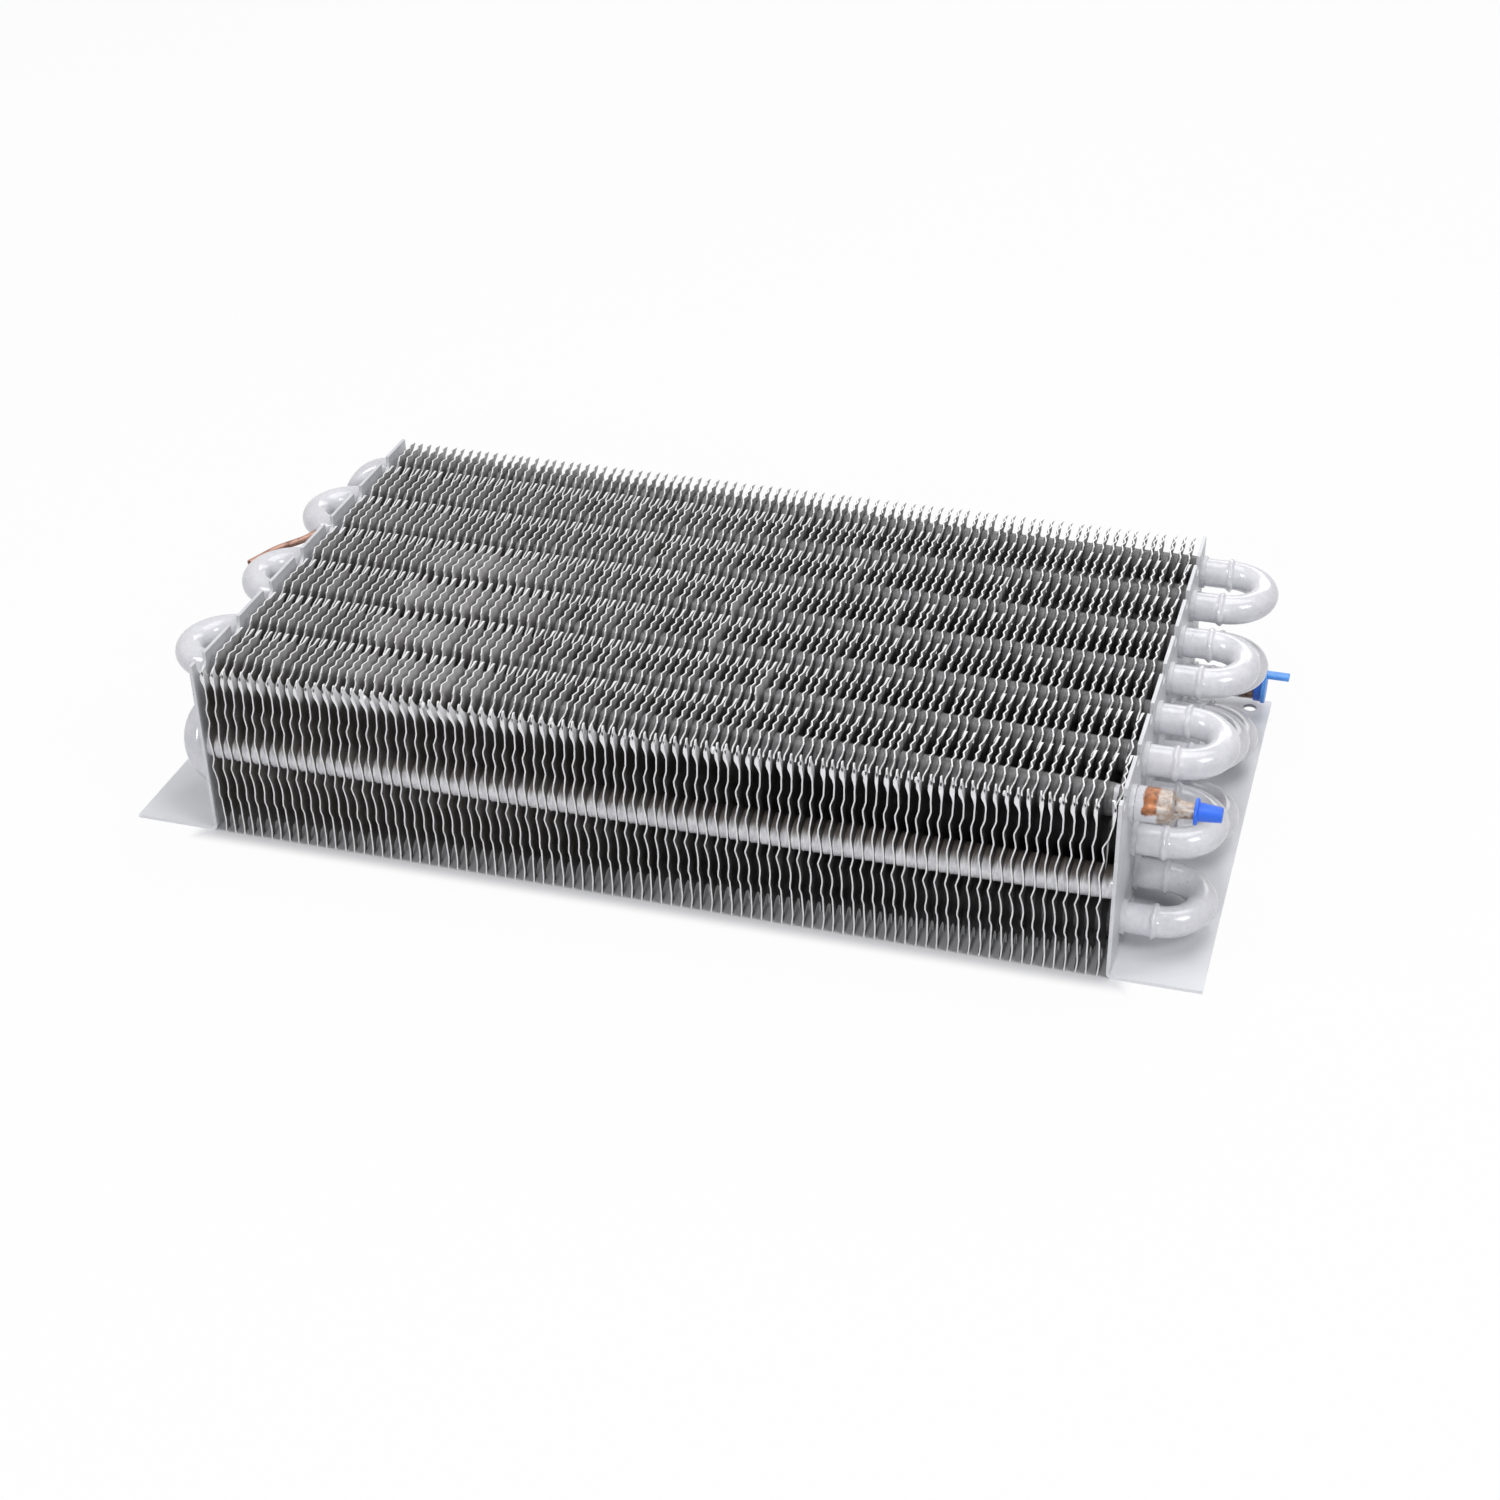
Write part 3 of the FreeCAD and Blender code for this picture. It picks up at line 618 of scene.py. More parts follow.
def addHairpin(node, row, column, slanted=False, inlet=False, outlet=False):
    first = tubeAt(row, column)
    lean, span = 0, coil["tubePitch"]
    if slanted:
        lean = math.atan2(coil["rowPitch"], coil["tubePitch"] / 2)
        span = math.hypot(coil["rowPitch"], coil["tubePitch"] / 2)
    ends = [tube["inletEnd"] if inlet else tube["mouth"], tube["outletEnd"] if outlet else tube["mouth"]]
    ends = [coil["rightFace"] + reach for reach in ends]
    bend = -coil["rightFace"] - tube["straight"]
    bm = bmesh.new()
    lathe(bm, legProfile(ends[0], bend, not inlet), first, tube["steps"])
    lathe(bm, legProfile(ends[1], bend, not outlet), first + Vector((0, span, 0)), tube["steps"])
    halfTurn(bm, Vector((bend, first.y + span / 2, first.z)), -math.pi, tube["bendSteps"])
    bmesh.ops.rotate(bm, verts=bm.verts, cent=first, matrix=Matrix.Rotation(lean, 3, "X"))
    second = first + Matrix.Rotation(lean, 3, "X") @ Vector((0, span, 0))
    dice = random.Random(node)
    if not inlet:
        roughenLip(bm, ends[0], first, dice)
    if not outlet:
        roughenLip(bm, ends[1], second, dice)
    addObject(bm, node + "_painted", "outlet" if outlet else "tube", node)


def addReturnBend(node, row, column):
    first = tubeAt(row, column)
    mouth = coil["rightFace"] + tube["mouth"]
    spigot = coil["boreRadius"] - tube["spigotGap"]
    deep = mouth - tube["socketDepth"] + tube["spigotShort"]
    taper = mouth - tube["spigotTaper"]
    profile = [(deep, 0), (deep, spigot), (taper, spigot), (mouth, coil["tubeRadius"])]
    across = Vector((0, coil["tubePitch"], 0))
    bm = bmesh.new()
    lathe(bm, profile, first, tube["steps"])
    lathe(bm, profile, first + across, tube["steps"])
    middle = first + across / 2
    middle.x = mouth
    halfTurn(bm, middle, math.pi, tube["bendSteps"])
    addObject(bm, node + "_painted", "tube", node)


def addFrontTube():
    end = coil["rightFace"] - coil["plate"] - tube["frontGap"]
    radius = coil["tubeRadius"]
    bm = bmesh.new()
    lathe(bm, [(-end, 0), (-end, radius), (end, radius), (end, 0)], tubeAt("middle", 1), tube["steps"])
    bmesh.ops.recalc_face_normals(bm, faces=bm.faces)
    addObject(bm, "front_tube_painted", "tube", "front_tube")


def addTubes():
    addHairpin("hairpin_top_1", "top", 1, inlet=True)
    addHairpin("hairpin_top_2", "top", 3)
    addHairpin("hairpin_top_3", "top", 5)
    addHairpin("hairpin_diagonal_back", "middle", 7, slanted=True)
    addHairpin("hairpin_middle_1", "middle", 3)
    addHairpin("hairpin_middle_2", "middle", 5)
    addHairpin("hairpin_diagonal_front", "bottom", 1, slanted=True)
    addHairpin("hairpin_bottom_1", "bottom", 2)
    addHairpin("hairpin_bottom_2", "bottom", 4)
    addHairpin("hairpin_bottom_3", "bottom", 6, outlet=True)
    for row, column in (("top", 2), ("middle", 2), ("bottom", 1)):
        for number in range(3):
            addReturnBend(f"return_bend_{row}_{number + 1}", row, column + 2 * number)
    addFrontTube()


addTubes()
print("tubes ready")

# Stubs: (x, radius) in millimetres, x from the plate's face
inlet = {
    "reducer": (
        (2.3, 0), (2.3, 6.85), (2.6, 7.05), (10, 7.0), (13.2, 6.9), (14.6, 6.8), (15.3, 6.95), (15.8, 7.0),
        (16.3, 6.7), (16.8, 5.9), (17.6, 4.9), (18.6, 4.15), (19.4, 3.9), (20.6, 3.6), (22, 3.35),
        (27.9, 3.2), (27.9, 0),
    ),
    "cap": (
        (24.8, 3.3), (24.8, 5.1), (24.95, 5.3), (25.3, 5.37), (25.8, 5.35), (26.1, 5.2), (26.3, 4.8),
        (26.4, 4), (26.7, 3.8), (35, 3.1), (35.35, 2.95), (35.5, 2.6), (35.5, 0),
    ),
    "lumps": ((280, 0.3 * mm), (700, 0.14 * mm)),  # how close together, how high
    "lumpy": (12 * mm, 15 * mm, 22 * mm, 25 * mm),  # where solder lies, from the plate's face
    "core": 1 * mm,  # nearer the centre line than this, nothing is lumpy
    "steps": 40,
}
outlet = {
    "cap": (
        (28.7, 6.4), (28.7, 6.85), (28.85, 7.0), (31.7, 7.02), (31.9, 7.1), (32, 7.5), (32.25, 7.68),
        (33.6, 7.68), (33.85, 7.5), (33.9, 7.2), (33.9, 0),
    ),
    "tabSize": (10.4 * mm, 4.6 * mm, 2.1 * mm),
    "tabMiddle": (38.5 * mm, 0, 6.3 * mm),  # from the plate's face and the tube's centre line
    "tabRound": 0.45 * mm,
    "steps": 48,
}
feeder = {
    "radius": 1.6 * mm,
    "bore": 1.0 * mm,
    "aroundBend": 20,  # degrees from the bend's front leg
    "sunk": 0.3 * mm,  # into the bend that carries it
    "runs": (3.8 * mm, 6.17 * mm, 12.8 * mm),
    "turns": (-15.95, 15.95, 0),  # degrees, after each run
    "turnRadius": 30 * mm,
    "turnSteps": 6,
    "boreDepth": 5 * mm,
    "steps": 24,
}


def stubProfile(profile):
    return [(coil["rightFace"] + x * mm, radius * mm) for x, radius in profile]


def addInlet():
    centre = tubeAt("top", 1)
    bm = bmesh.new()
    lathe(bm, stubProfile(inlet["reducer"]), centre, inlet["steps"])
    bmesh.ops.recalc_face_normals(bm, faces=bm.faces)
    for point in bm.verts:  # solder is lumpy
        x = point.co.x - coil["rightFace"]
        out = Vector((0, point.co.y - centre.y, point.co.z - centre.z))
        if out.length > inlet["core"]:
            wet = band(inlet["lumpy"], x)
            for closeness, size in inlet["lumps"]:
                lump = noise.noise(point.co * closeness) * size * wet
                point.co += out.normalized() * lump
    addObject(bm, "inlet_reducer_soldered", "reducer", "inlet_reducer")
    bm = bmesh.new()
    lathe(bm, stubProfile(inlet["cap"]), centre, inlet["steps"])
    bmesh.ops.holes_fill(bm, edges=bm.edges, sides=0)
    bmesh.ops.recalc_face_normals(bm, faces=bm.faces)
    addObject(bm, "inlet_cap_moulded", "inletCap", "inlet_cap", crease=30)


def addOutletCap():
    centre = tubeAt("bottom", coil["columns"])
    tabMiddle = centre + Vector(outlet["tabMiddle"])
    tabMiddle.x += coil["rightFace"]
    bm = bmesh.new()
    made = bmesh.ops.create_cube(bm, size=1)["verts"]
    bmesh.ops.scale(bm, verts=made, vec=outlet["tabSize"])
    bmesh.ops.translate(bm, verts=made, vec=tabMiddle)
    bmesh.ops.bevel(
        bm,
        geom=bm.edges[:],
        offset=outlet["tabRound"],
        segments=3,
        profile=0.5,
        affect="EDGES",
        material=-1,
    )
    lathe(bm, stubProfile(outlet["cap"]), centre, outlet["steps"])
    bmesh.ops.holes_fill(bm, edges=bm.edges, sides=0)
    bmesh.ops.recalc_face_normals(bm, faces=bm.faces)
    addObject(bm, "outlet_cap_moulded", "outletCap", "outlet_cap", crease=30)


def runOn(bm, ring, step):  # carries a ring of edges straight on
    grown = bmesh.ops.extrude_edge_only(bm, edges=ring)["geom"]
    points = [item for item in grown if isinstance(item, bmesh.types.BMVert)]
    bmesh.ops.translate(bm, verts=points, vec=step)
    return [item for item in grown if isinstance(item, bmesh.types.BMEdge) and item.is_boundary]


def addFeeder():
    out = math.radians(270 - feeder["aroundBend"])
    heading = Vector((math.cos(out), math.sin(out), 0))
    carrier = (tubeAt("top", 5) + tubeAt("top", 6)) / 2
    carrier.x = -coil["rightFace"] - tube["straight"]
    place = carrier + heading * (coil["tubePitch"] / 2 + coil["tubeRadius"] - feeder["sunk"])
    bm = bmesh.new()
    made = bmesh.ops.create_circle(bm, segments=feeder["steps"], radius=feeder["radius"])["verts"]
    facing = heading.to_track_quat("Z", "Y").to_matrix().to_4x4()
    bmesh.ops.transform(bm, matrix=Matrix.Translation(place) @ facing, verts=made)
    ring = bm.edges[:]
    for run, turn in zip(feeder["runs"], feeder["turns"]):
        ring = runOn(bm, ring, heading * run)
        place += heading * run
        if turn:
            side = heading.cross(Vector((0, 0, 1))) * (1 if turn < 0 else -1)
            centre = place + side * feeder["turnRadius"]
            spun = bmesh.ops.spin(
                bm,
                geom=corners(ring) + ring,
                cent=centre,
                axis=(0, 0, 1),
                angle=math.radians(turn),
                steps=feeder["turnSteps"],
            )
            ring = [item for item in spun["geom_last"] if isinstance(item, bmesh.types.BMEdge)]
            rotation = Matrix.Rotation(math.radians(turn), 3, "Z")
            place = centre + rotation @ (place - centre)
            heading = rotation @ heading
    bmesh.ops.remove_doubles(bm, verts=bm.verts, dist=weld["feeder"])
    near = 2 * feeder["radius"]
    ring = [edge for edge in bm.edges if edge.is_boundary and (edge.verts[0].co - place).length < near]
    ring = runOn(bm, ring, Vector())
    share = feeder["bore"] / feeder["radius"]
    middle = Matrix.Translation(-place)
    bmesh.ops.scale(bm, verts=corners(ring), vec=(share, share, share), space=middle)
    runOn(bm, ring, heading * -feeder["boreDepth"])
    bmesh.ops.holes_fill(bm, edges=bm.edges, sides=0)
    bmesh.ops.recalc_face_normals(bm, faces=bm.faces)
    addObject(bm, "feeder_tube_bare", "copper", "feeder_tube")


addInlet()
addOutletCap()
addFeeder()
print("stubs ready")

# Fins: one flat sheet is drawn, cut into bands and thickened, and each fin is a bent copy of it
fin = {
    "foot": 0.6 * mm,
    "thickness": 0.6 * mm,
    "notchWidth": 8.2 * mm,
    "notchDepth": 7 * mm,
    "notchSteps": 8,
    "holeRadius": 6.4 * mm,
    "holeSteps": 16,
    "collar": ((0.1, 1.2), (0.9, 0.5), (3.95, 0.3), (1.2, -0.3)),  # from the left face and the tube, in mm
    "collarSteps": 14,
    "hiddenCollarSteps": 10,
    "waves": 5,  # ripples in a tube pitch
    "top": 12 * mm,  # how far down the top edge's ripples run
    "side": 5.5 * mm,  # how deep the front and back edges ripple
    "sideRows": 40,
    "cutGap": 0.05 * mm,  # between the notches' ends and the cuts below and above them
    "outlineWithin": 0.001 * mm,
}


def finHoles():  # each tube's row, column and centre on the flat fin
    for row in coil["level"]:
        for column in range(1, coil["columns"] + 1):
            yield row, column, tubeAt(row, column) + Vector((0, coil["depth"] / 2, 0))


def cutAcross(bm, axis, place, test=lambda middle: True):
    faces = [face for face in bm.faces if test(face.calc_center_median())]
    edges = list(dict.fromkeys(edge for face in faces for edge in face.edges))
    normal = Vector([int(number == axis) for number in range(3)])
    bmesh.ops.bisect_plane(
        bm,
        geom=faces + edges + corners(faces),
        dist=weld["cut"],
        plane_co=normal * place,
        plane_no=normal,
    )


def drawFinEdge(bm, level, inward):  # the top or bottom edge with its notches; inward is 1 or -1
    half = fin["notchWidth"] / 2
    centreZ = level + inward * (fin["notchDepth"] - half)
    last = bm.verts.new((0, 0, level))
    for column in range(coil["columns"]):
        middle = coil["tubePitch"] * (coil["firstTube"]["middle"] + column)
        rim = bm.verts.new((0, middle - half, level))
        deep = bm.verts.new((0, middle - half, centreZ))
        bm.edges.new((last, rim))
        bm.edges.new((rim, deep))
        turned = bmesh.ops.spin(
            bm,
            geom=[deep],
            cent=(0, middle, centreZ),
            axis=(1, 0, 0),
            angle=-inward * math.pi,
            steps=fin["notchSteps"],
        )
        rise = [item for item in turned["geom_last"] if isinstance(item, bmesh.types.BMVert)][0]
        last = bm.verts.new((0, middle + half, level))
        bm.edges.new((rise, last))
    bm.edges.new((last, bm.verts.new((0, coil["depth"], level))))


def drawFin(bm):  # the flat outline and its holes, filled
    drawFinEdge(bm, fin["foot"], 1)
    drawFinEdge(bm, coil["height"], -1)
    for edge in (0, coil["depth"]):
        bm.edges.new([point for point in bm.verts if abs(point.co.y - edge) < fin["outlineWithin"]])
    upright = Matrix.Rotation(math.pi / 2, 4, "Y")
    for _, _, centre in finHoles():
        made = bmesh.ops.create_circle(bm, segments=fin["holeSteps"], radius=fin["holeRadius"])["verts"]
        bmesh.ops.transform(bm, matrix=Matrix.Translation(centre) @ upright, verts=made)
    bmesh.ops.triangle_fill(bm, edges=bm.edges, use_beauty=True, normal=(1, 0, 0))


def cutFin(bm):  # bands of narrow faces where the edges ripple
    height, depth, side = coil["height"], coil["depth"], fin["side"]
    toothFoot = height - fin["notchDepth"] - fin["cutGap"]
    footTop = fin["foot"] + fin["notchDepth"] + fin["cutGap"]
    for place in (height - fin["top"], toothFoot, footTop):
        cutAcross(bm, 2, place)
    inTeeth = [face for face in bm.faces if not footTop < face.calc_center_median().z < toothFoot]
    bmesh.ops.dissolve_faces(bm, faces=inTeeth)
    for place in (side, side / 2, depth - side, depth - side / 2):
        cutAcross(bm, 1, place)
    cutAcross(bm, 2, height - fin["notchDepth"] / 2, lambda middle: middle.z > toothFoot)
    columns = 2 * fin["waves"] * coil["columns"]
    for number in range(1, columns):
        place = depth * number / columns
        cutAcross(bm, 1, place, lambda middle: middle.z > height - fin["top"] or middle.z < footTop)
    for number in range(1, fin["sideRows"]):
        place = fin["foot"] + (height - fin["foot"]) * number / fin["sideRows"]
        cutAcross(bm, 2, place, lambda middle: middle.y < side or middle.y > depth - side)


def addCollars(bm):
    for row, column, centre in finHoles():
        seen = row == "top" or (row, column) == ("middle", 1)
        collar = [(x * mm, coil["tubeRadius"] + rise * mm) for x, rise in fin["collar"]]
        if not seen:
            collar.pop(1)
        ring = bmesh.new()
        steps = fin["collarSteps"] if seen else fin["hiddenCollarSteps"]
        lathe(ring, collar + collar[:1], centre, steps)
        bmesh.ops.recalc_face_normals(ring, faces=ring.faces)
        for face in ring.faces:
            face.material_index = 1
        made = bpy.data.meshes.new("collar")
        ring.to_mesh(made)
        ring.free()
        bm.from_mesh(made)
        bpy.data.meshes.remove(made)


def flatFin():  # front edge at Y = 0, left face at X = 0
    bm = bmesh.new()
    drawFin(bm)
    cutFin(bm)
    grown = bmesh.ops.extrude_face_region(bm, geom=bm.faces[:])["geom"]
    points = [item for item in grown if isinstance(item, bmesh.types.BMVert)]
    bmesh.ops.translate(bm, verts=points, vec=(fin["thickness"], 0, 0))
    bmesh.ops.recalc_face_normals(bm, faces=bm.faces)
    bmesh.ops.triangulate(bm, faces=[face for face in bm.faces if len(face.verts) > 4])
    addCollars(bm)
    mesh = bpy.data.meshes.new("flat_fin")
    bm.to_mesh(mesh)
    bm.free()
    return mesh


# How the flat fin is bent; a depth is measured down from the top edge, and a length runs along Y
finBend = {
    "topRipple": 0.5 * mm,
    "topRippleFull": 3 * mm,  # down to here the ripples are full
    "footRipple": 0.35 * mm,
    "footHeight": 9 * mm,
    "dents": (  # above a tube's centre line, and to the right, in millimetres
        (-42, -0.2), (-35, 0.6), (-24.4, 0.35), (-21.6, -0.55), (-17, 0.1), (-13, -0.15), (-8, -1.35),
        (-3.4, -0.25), (1.3, -0.45), (7.5, -1.2), (15, 0.3), (20.2, -0.7), (25, 0.7), (31, 0.75), (42, -0.2),
    ),
    "frontRows": ("middle",),  # whose tubes the dents follow at the front edge, and at the back edge
    "backRows": ("bottom", "top"),
    "dentRange": (0.8, 1.25),
    "sidePower": 1.5,
    "jitter": 0.35 * mm,  # each fin's own small waves
    "jitterSize": 11 * mm,
    "bow": 0.3 * mm,
    "bowWaves": 28,  # in a metre
    "driftRange": 40,
    "lean": 0.36 * mm,  # how unevenly the teeth lean
    "leanDepth": 9 * mm,
    "toothLean": 1.1 * mm,  # how far they all lean to the right
    "toothLeanDepths": (1.5 * mm, 8.5 * mm),  # full above the first, none below the second
    "toothReturn": 0.35,
    "combed": (11, 14, 26, 30),  # fins whose front teeth were pushed to the left, fully for the middle two
    "combedBy": 1.7 * mm,
    "combedPitches": (3.5, 4.5),
    "folded": {(46, 4): 2.4 * mm, (46, 3): 1.7 * mm, (53, 2): 1.9 * mm, (88, 3): 1 * mm},  # fin and tooth
    "foldTwist": 1.1,
    "lastFinBy": 3 * mm,
    "lastFinDepth": 22.5 * mm,
    "lastFinPitches": 2,
    "prongLean": 0.9 * mm,
    "prongRange": (0.3, 1.5),
    "prongDepths": (0, 5 * mm, 5.5 * mm, 10 * mm),
    "prongLength": 4.5 * mm,
    "tipSwell": 2.3,  # how much thicker a front tip is where paint gathered, times its own thickness
    "tipSwellRange": (0.5, 1.2),
    "tipSwellDepths": (1.5 * mm, 5 * mm, 5 * mm, 10 * mm),
    "spur": 1.1 * mm,  # how far the back corner of a tooth stands above its top
    "spurLength": 3 * mm,
    "spurDepth": 5 * mm,
    "spurBend": 1.7 * mm,  # how far it's bent to the right
    "spurSwell": 0.8,
    "frontDrop": 2.4 * mm,  # how far the front corner lies below it
    "frontDropLength": 3.6 * mm,
    "cornerDrop": 0.9 * mm,  # the same for the front corner of each tooth behind
    "cornerDropLength": 2 * mm,
    "topWithin": 0.01 * mm,
}


def ownWays(number):  # how one fin differs from the others
    dice = random.Random(number)
    return {
        "leans": [dice.gauss(0, finBend["lean"]) for tooth in range(coil["columns"] + 1)],
        "drift": Vector((dice.uniform(0, finBend["driftRange"]), 0, 0)),
        "dents": dice.uniform(*finBend["dentRange"]),
        "swell": finBend["tipSwell"] * dice.uniform(*finBend["tipSwellRange"]),
        "prongLean": finBend["prongLean"] * dice.uniform(*finBend["prongRange"]),
    }


def sideDent(z, rows):  # the dents along a front or back edge, which follow its nearest tube
    away = min((z - tubeAt(row, 1).z for row in rows), key=abs) / mm
    for (low, first), (high, second) in zip(finBend["dents"], finBend["dents"][1:]):
        if away <= high:
            return (first + (second - first) * (away - low) / (high - low)) * mm
    return 0


def edgeShift(own, y, z, down):  # ripples, dents and small waves
    wave = math.cos(2 * math.pi * fin["waves"] * y / coil["tubePitch"])
    top = fade(finBend["topRippleFull"], fin["top"], down)
    foot = fade(0, finBend["footHeight"], z)
    front = max(1 - y / fin["side"], 0) ** finBend["sidePower"]
    back = max(1 - (coil["depth"] - y) / fin["side"], 0) ** finBend["sidePower"]
    dent = front * sideDent(z, finBend["frontRows"]) + back * sideDent(z, finBend["backRows"])
    place = Vector((y, z, 0))
    jitter = noise.noise(place / finBend["jitterSize"] - own["drift"]) * finBend["jitter"] * max(front, back)
    bow = noise.noise(place * finBend["bowWaves"] + own["drift"]) * finBend["bow"]
    ripple = wave * (top * finBend["topRipple"] + foot * finBend["footRipple"])
    return ripple + dent * own["dents"] + jitter + bow


def toothShift(own, number, y, down):  # how the teeth lean, and where they were pushed or folded
    pitch = coil["tubePitch"]
    inTooth = y / pitch + 1 - coil["firstTube"]["middle"]
    tooth = int(inTooth)
    lean = own["leans"][tooth]
    lean -= finBend["folded"].get((number, tooth), 0) * (finBend["foldTwist"] - (inTooth - tooth))
    combedTo, combedEnd = [pitches * pitch for pitches in finBend["combedPitches"]]
    lean -= band(finBend["combed"], number) * finBend["combedBy"] * fade(combedTo, combedEnd, y)
    shift = lean * fade(0, finBend["leanDepth"], down)
    if tooth:
        upright = finBend["toothReturn"] * fade(finBend["topRippleFull"], fin["top"], down)
        shift += finBend["toothLean"] * (fade(*finBend["toothLeanDepths"], down) - upright)
    if number == coil["finCount"] - 1:
        reach = fade(0, finBend["lastFinPitches"] * pitch, y)
        shift += finBend["lastFinBy"] * reach * fade(0, finBend["lastFinDepth"], down)
    prong = band(finBend["prongDepths"], down) * fade(0, finBend["prongLength"], y)
    return shift - prong * own["prongLean"]


def bendFin(points, number):
    own = ownWays(number)
    left = finAt(number) - fin["thickness"] / 2
    pitch, firstTube = coil["tubePitch"], coil["firstTube"]["middle"]
    for point in points:
        y, z = point.co.y, point.co.z
        down = coil["height"] - z
        tooth = int(y / pitch + 1 - firstTube)
        toothEnd = (tooth + firstTube) * pitch - fin["notchWidth"] / 2
        toothStart = toothEnd - pitch + fin["notchWidth"]
        spur = smoothStep(toothEnd - finBend["spurLength"], toothEnd, y) if tooth else 0
        curl = spur * fade(0, finBend["spurDepth"], down)
        tip = band(finBend["tipSwellDepths"], down) * fade(0, finBend["prongLength"], y)
        if down < finBend["topWithin"]:
            corner = fade(0, finBend["cornerDropLength"], y - toothStart) if tooth else 0
            point.co.z -= finBend["spur"] * (1 - spur) + finBend["cornerDrop"] * corner
            point.co.z -= finBend["frontDrop"] * fade(0, finBend["frontDropLength"], y)
        shift = edgeShift(own, y, z, down) + toothShift(own, number, y, down) + curl * finBend["spurBend"]
        thicker = curl * finBend["spurSwell"] + tip * own["swell"]
        point.co.x += (point.co.x - fin["thickness"] / 2) * thicker
        point.co += Vector((left + shift, -coil["depth"] / 2, 0))


# Drops of dried paint on the front tips of some fins, placed from the tip in millimetres
tipDrop = {
    "fins": (7, 12, 17, 23, 31, 36, 44, 52, 53, 60, 66, 71, 79, 84),
    "radius": 1.15 * mm,
    "sizeRange": (0.7, 1.15),
    "right": (-1.5, -0.4),
    "behind": (1.6, 2.6),
    "below": (2.8, 4.6),
    "stretch": (0.9, 1, 1.5),
    "firstSeed": 500,
}


def addDrop(bm, number):
    dice = random.Random(number + tipDrop["firstSeed"])
    right, behind, below = [dice.uniform(*tipDrop[way]) for way in ("right", "behind", "below")]
    tip = Vector((finAt(number), -coil["depth"] / 2, coil["height"])) + Vector((right, behind, -below)) * mm
    radius = tipDrop["radius"] * dice.uniform(*tipDrop["sizeRange"])
    made = bmesh.ops.create_icosphere(bm, subdivisions=2, radius=radius)["verts"]
    bmesh.ops.scale(bm, verts=made, vec=tipDrop["stretch"])
    bmesh.ops.translate(bm, verts=made, vec=tip)


def addFins():
    flat = flatFin()
    count = len(flat.vertices)
    triangles = sum(len(face.vertices) - 2 for face in flat.polygons)
    print(f"flat fin: {count} points, {triangles} triangles")
    group = coil["finsToANode"]
    for start in range(0, coil["finCount"], group):
        bm = bmesh.new()
        numbers = range(start, min(start + group, coil["finCount"]))
        for number in numbers:
            bm.from_mesh(flat)
            bm.verts.ensure_lookup_table()
            bendFin(bm.verts[-count:], number)
        for number in numbers:
            if number in tipDrop["fins"]:
                addDrop(bm, number)
        node = f"fins_{start // group + 1:02d}"
        addObject(bm, node + "_rippled", "fin", node, crease=50, second="collar")
    bpy.data.meshes.remove(flat)


addFins()
print("fins ready")

# The end plates keep their own shape
for node in ("end_plate_left", "end_plate_right"):
    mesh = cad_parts[node].data
    mesh.materials.clear()
    mesh.materials.append(finishes["plate"])

# Floor and light
studio = {
    "floorSize": 30,
    "floorColour": (214, 214, 217),
    "floorRoughness": 0.9,
    "floorSpecular": 0.1,
    "floorGlow": 0.95,  # how much of the floor seen by the camera is plain white, beside the coil
    "glowEdge": 5 * mm,  # how far beside it
    "white": (1, 1, 1, 1),
    "worldLight": 0.12,
    "aim": (0, 0, 0.04),  # where every lamp points
    "overhead": {"place": (0.2, 0.3, 1.4), "size": (1, 1), "power": 12},
    "right": {"place": (1.1, -0.5, 1.1), "size": (0.5, 0.5), "power": 8},
    "left": {"place": (-1.1, -0.6, 1.2), "size": (0.5, 0.5), "power": 8.5},
    "front": {"place": (0.15, -1.5, 0.7), "size": (0.25, 0.25), "power": 10},
    "back": {"place": (0.1, 1.4, 0.8), "size": (1.2, 0.4), "power": 5},
}


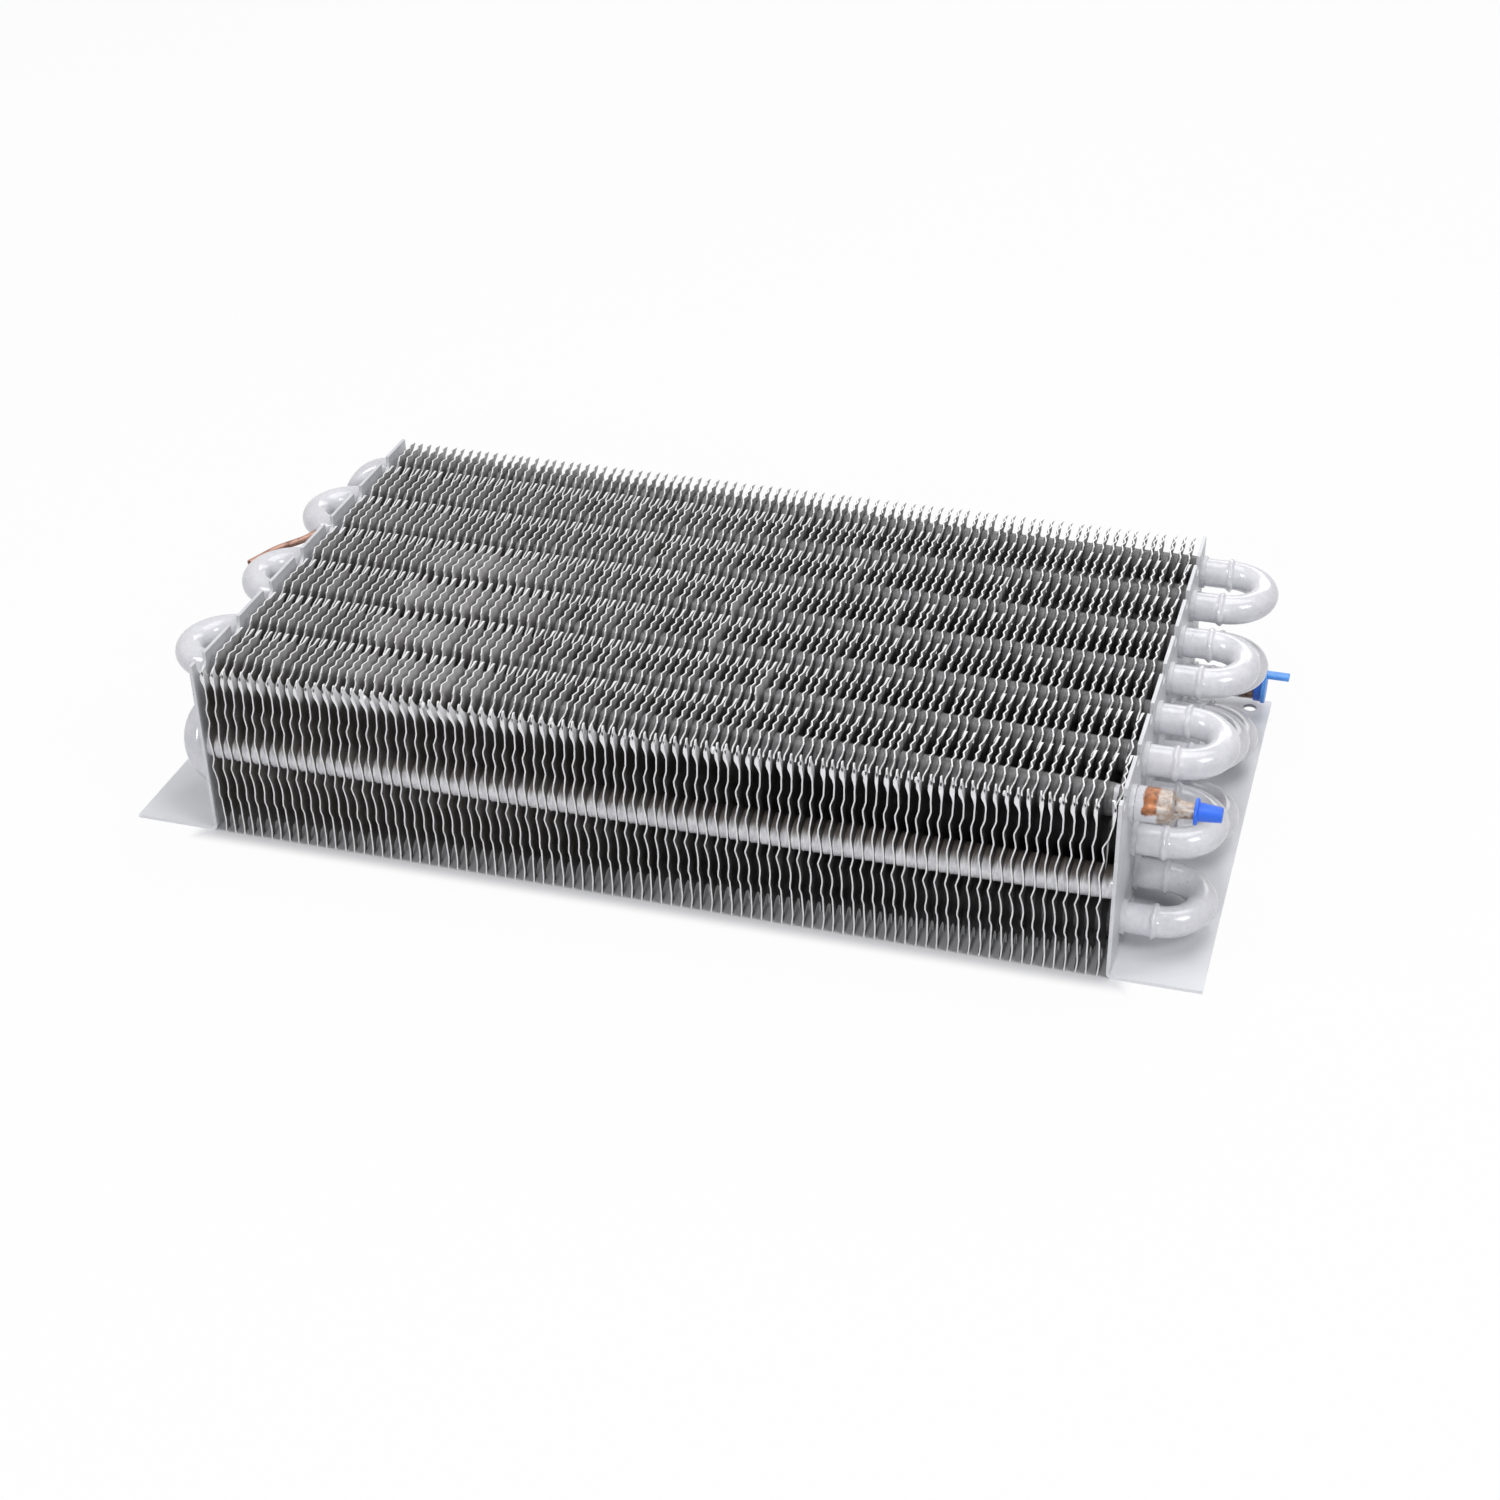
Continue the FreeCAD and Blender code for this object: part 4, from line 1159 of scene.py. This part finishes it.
def addFloor():
    bm = bmesh.new()
    bmesh.ops.create_grid(bm, x_segments=1, y_segments=1, size=studio["floorSize"] / 2)
    mesh = bpy.data.meshes.new("floor")
    bm.to_mesh(mesh)
    bm.free()
    finish = Finish("floor")
    finish.set(
        colour=shade(*studio["floorColour"]),
        roughness=studio["floorRoughness"],
        specular=studio["floorSpecular"],
    )
    glow = finish.add("Emission", None, {"Color": studio["white"]})
    seen = finish.add("LightPath", out="Is Camera Ray")
    for ray in ("Is Glossy Ray", "Is Transmission Ray"):
        seen = seen.greater(finish.add("LightPath", out=ray))
    edge = studio["glowEdge"]
    besideX = finish.axis("X").size().above(coil["rightFace"] + edge, 2 * edge)
    besideY = finish.axis("Y").size().above(coil["depth"] / 2 + edge, 2 * edge)
    glowing = seen * besideX.greater(besideY) * studio["floorGlow"]
    mixed = finish.add("MixShader", None, {0: glowing, 2: glow})
    finish.tree.links.new(finish.shader.outputs[0], mixed.socket.node.inputs[1])
    output = finish.tree.nodes["Material Output"]
    finish.tree.links.new(mixed.socket, output.inputs["Surface"])
    mesh.materials.append(finish.material)
    floor = bpy.data.objects.new("floor", mesh)
    bpy.context.collection.objects.link(floor)


def addLamp(name, look):
    light = bpy.data.lights.new(name, "AREA")
    light.shape = "RECTANGLE"
    light.size, light.size_y = look["size"]
    light.energy = look["power"]
    lamp = bpy.data.objects.new(name, light)
    lamp.location = look["place"]
    aim = Vector(studio["aim"]) - lamp.location
    lamp.rotation_euler = aim.to_track_quat("-Z", "Y").to_euler()
    bpy.context.collection.objects.link(lamp)


def setWorld():  # plain white where it's seen, and dimmer as a light
    world = bpy.data.worlds.new("studio")
    world.use_nodes = True
    tree = world.node_tree
    light = tree.nodes["Background"]
    light.inputs["Color"].default_value = studio["white"]
    light.inputs["Strength"].default_value = studio["worldLight"]
    white = tree.nodes.new("ShaderNodeBackground")
    white.inputs["Color"].default_value = studio["white"]
    path = tree.nodes.new("ShaderNodeLightPath")
    seen = path.outputs["Is Camera Ray"]
    for ray in ("Is Glossy Ray", "Is Transmission Ray"):
        greater = tree.nodes.new("ShaderNodeMath")
        greater.operation = "MAXIMUM"
        tree.links.new(seen, greater.inputs[0])
        tree.links.new(path.outputs[ray], greater.inputs[1])
        seen = greater.outputs[0]
    mixed = tree.nodes.new("ShaderNodeMixShader")
    for number, output in enumerate((seen, light.outputs[0], white.outputs[0])):
        tree.links.new(output, mixed.inputs[number])
    tree.links.new(mixed.outputs[0], tree.nodes["World Output"].inputs["Surface"])
    bpy.context.scene.world = world


addFloor()
for side in ("overhead", "right", "left", "front", "back"):
    addLamp(side, studio[side])
setWorld()
setCamera()
bpy.context.scene.view_settings.view_transform = "Standard"
print("studio ready")
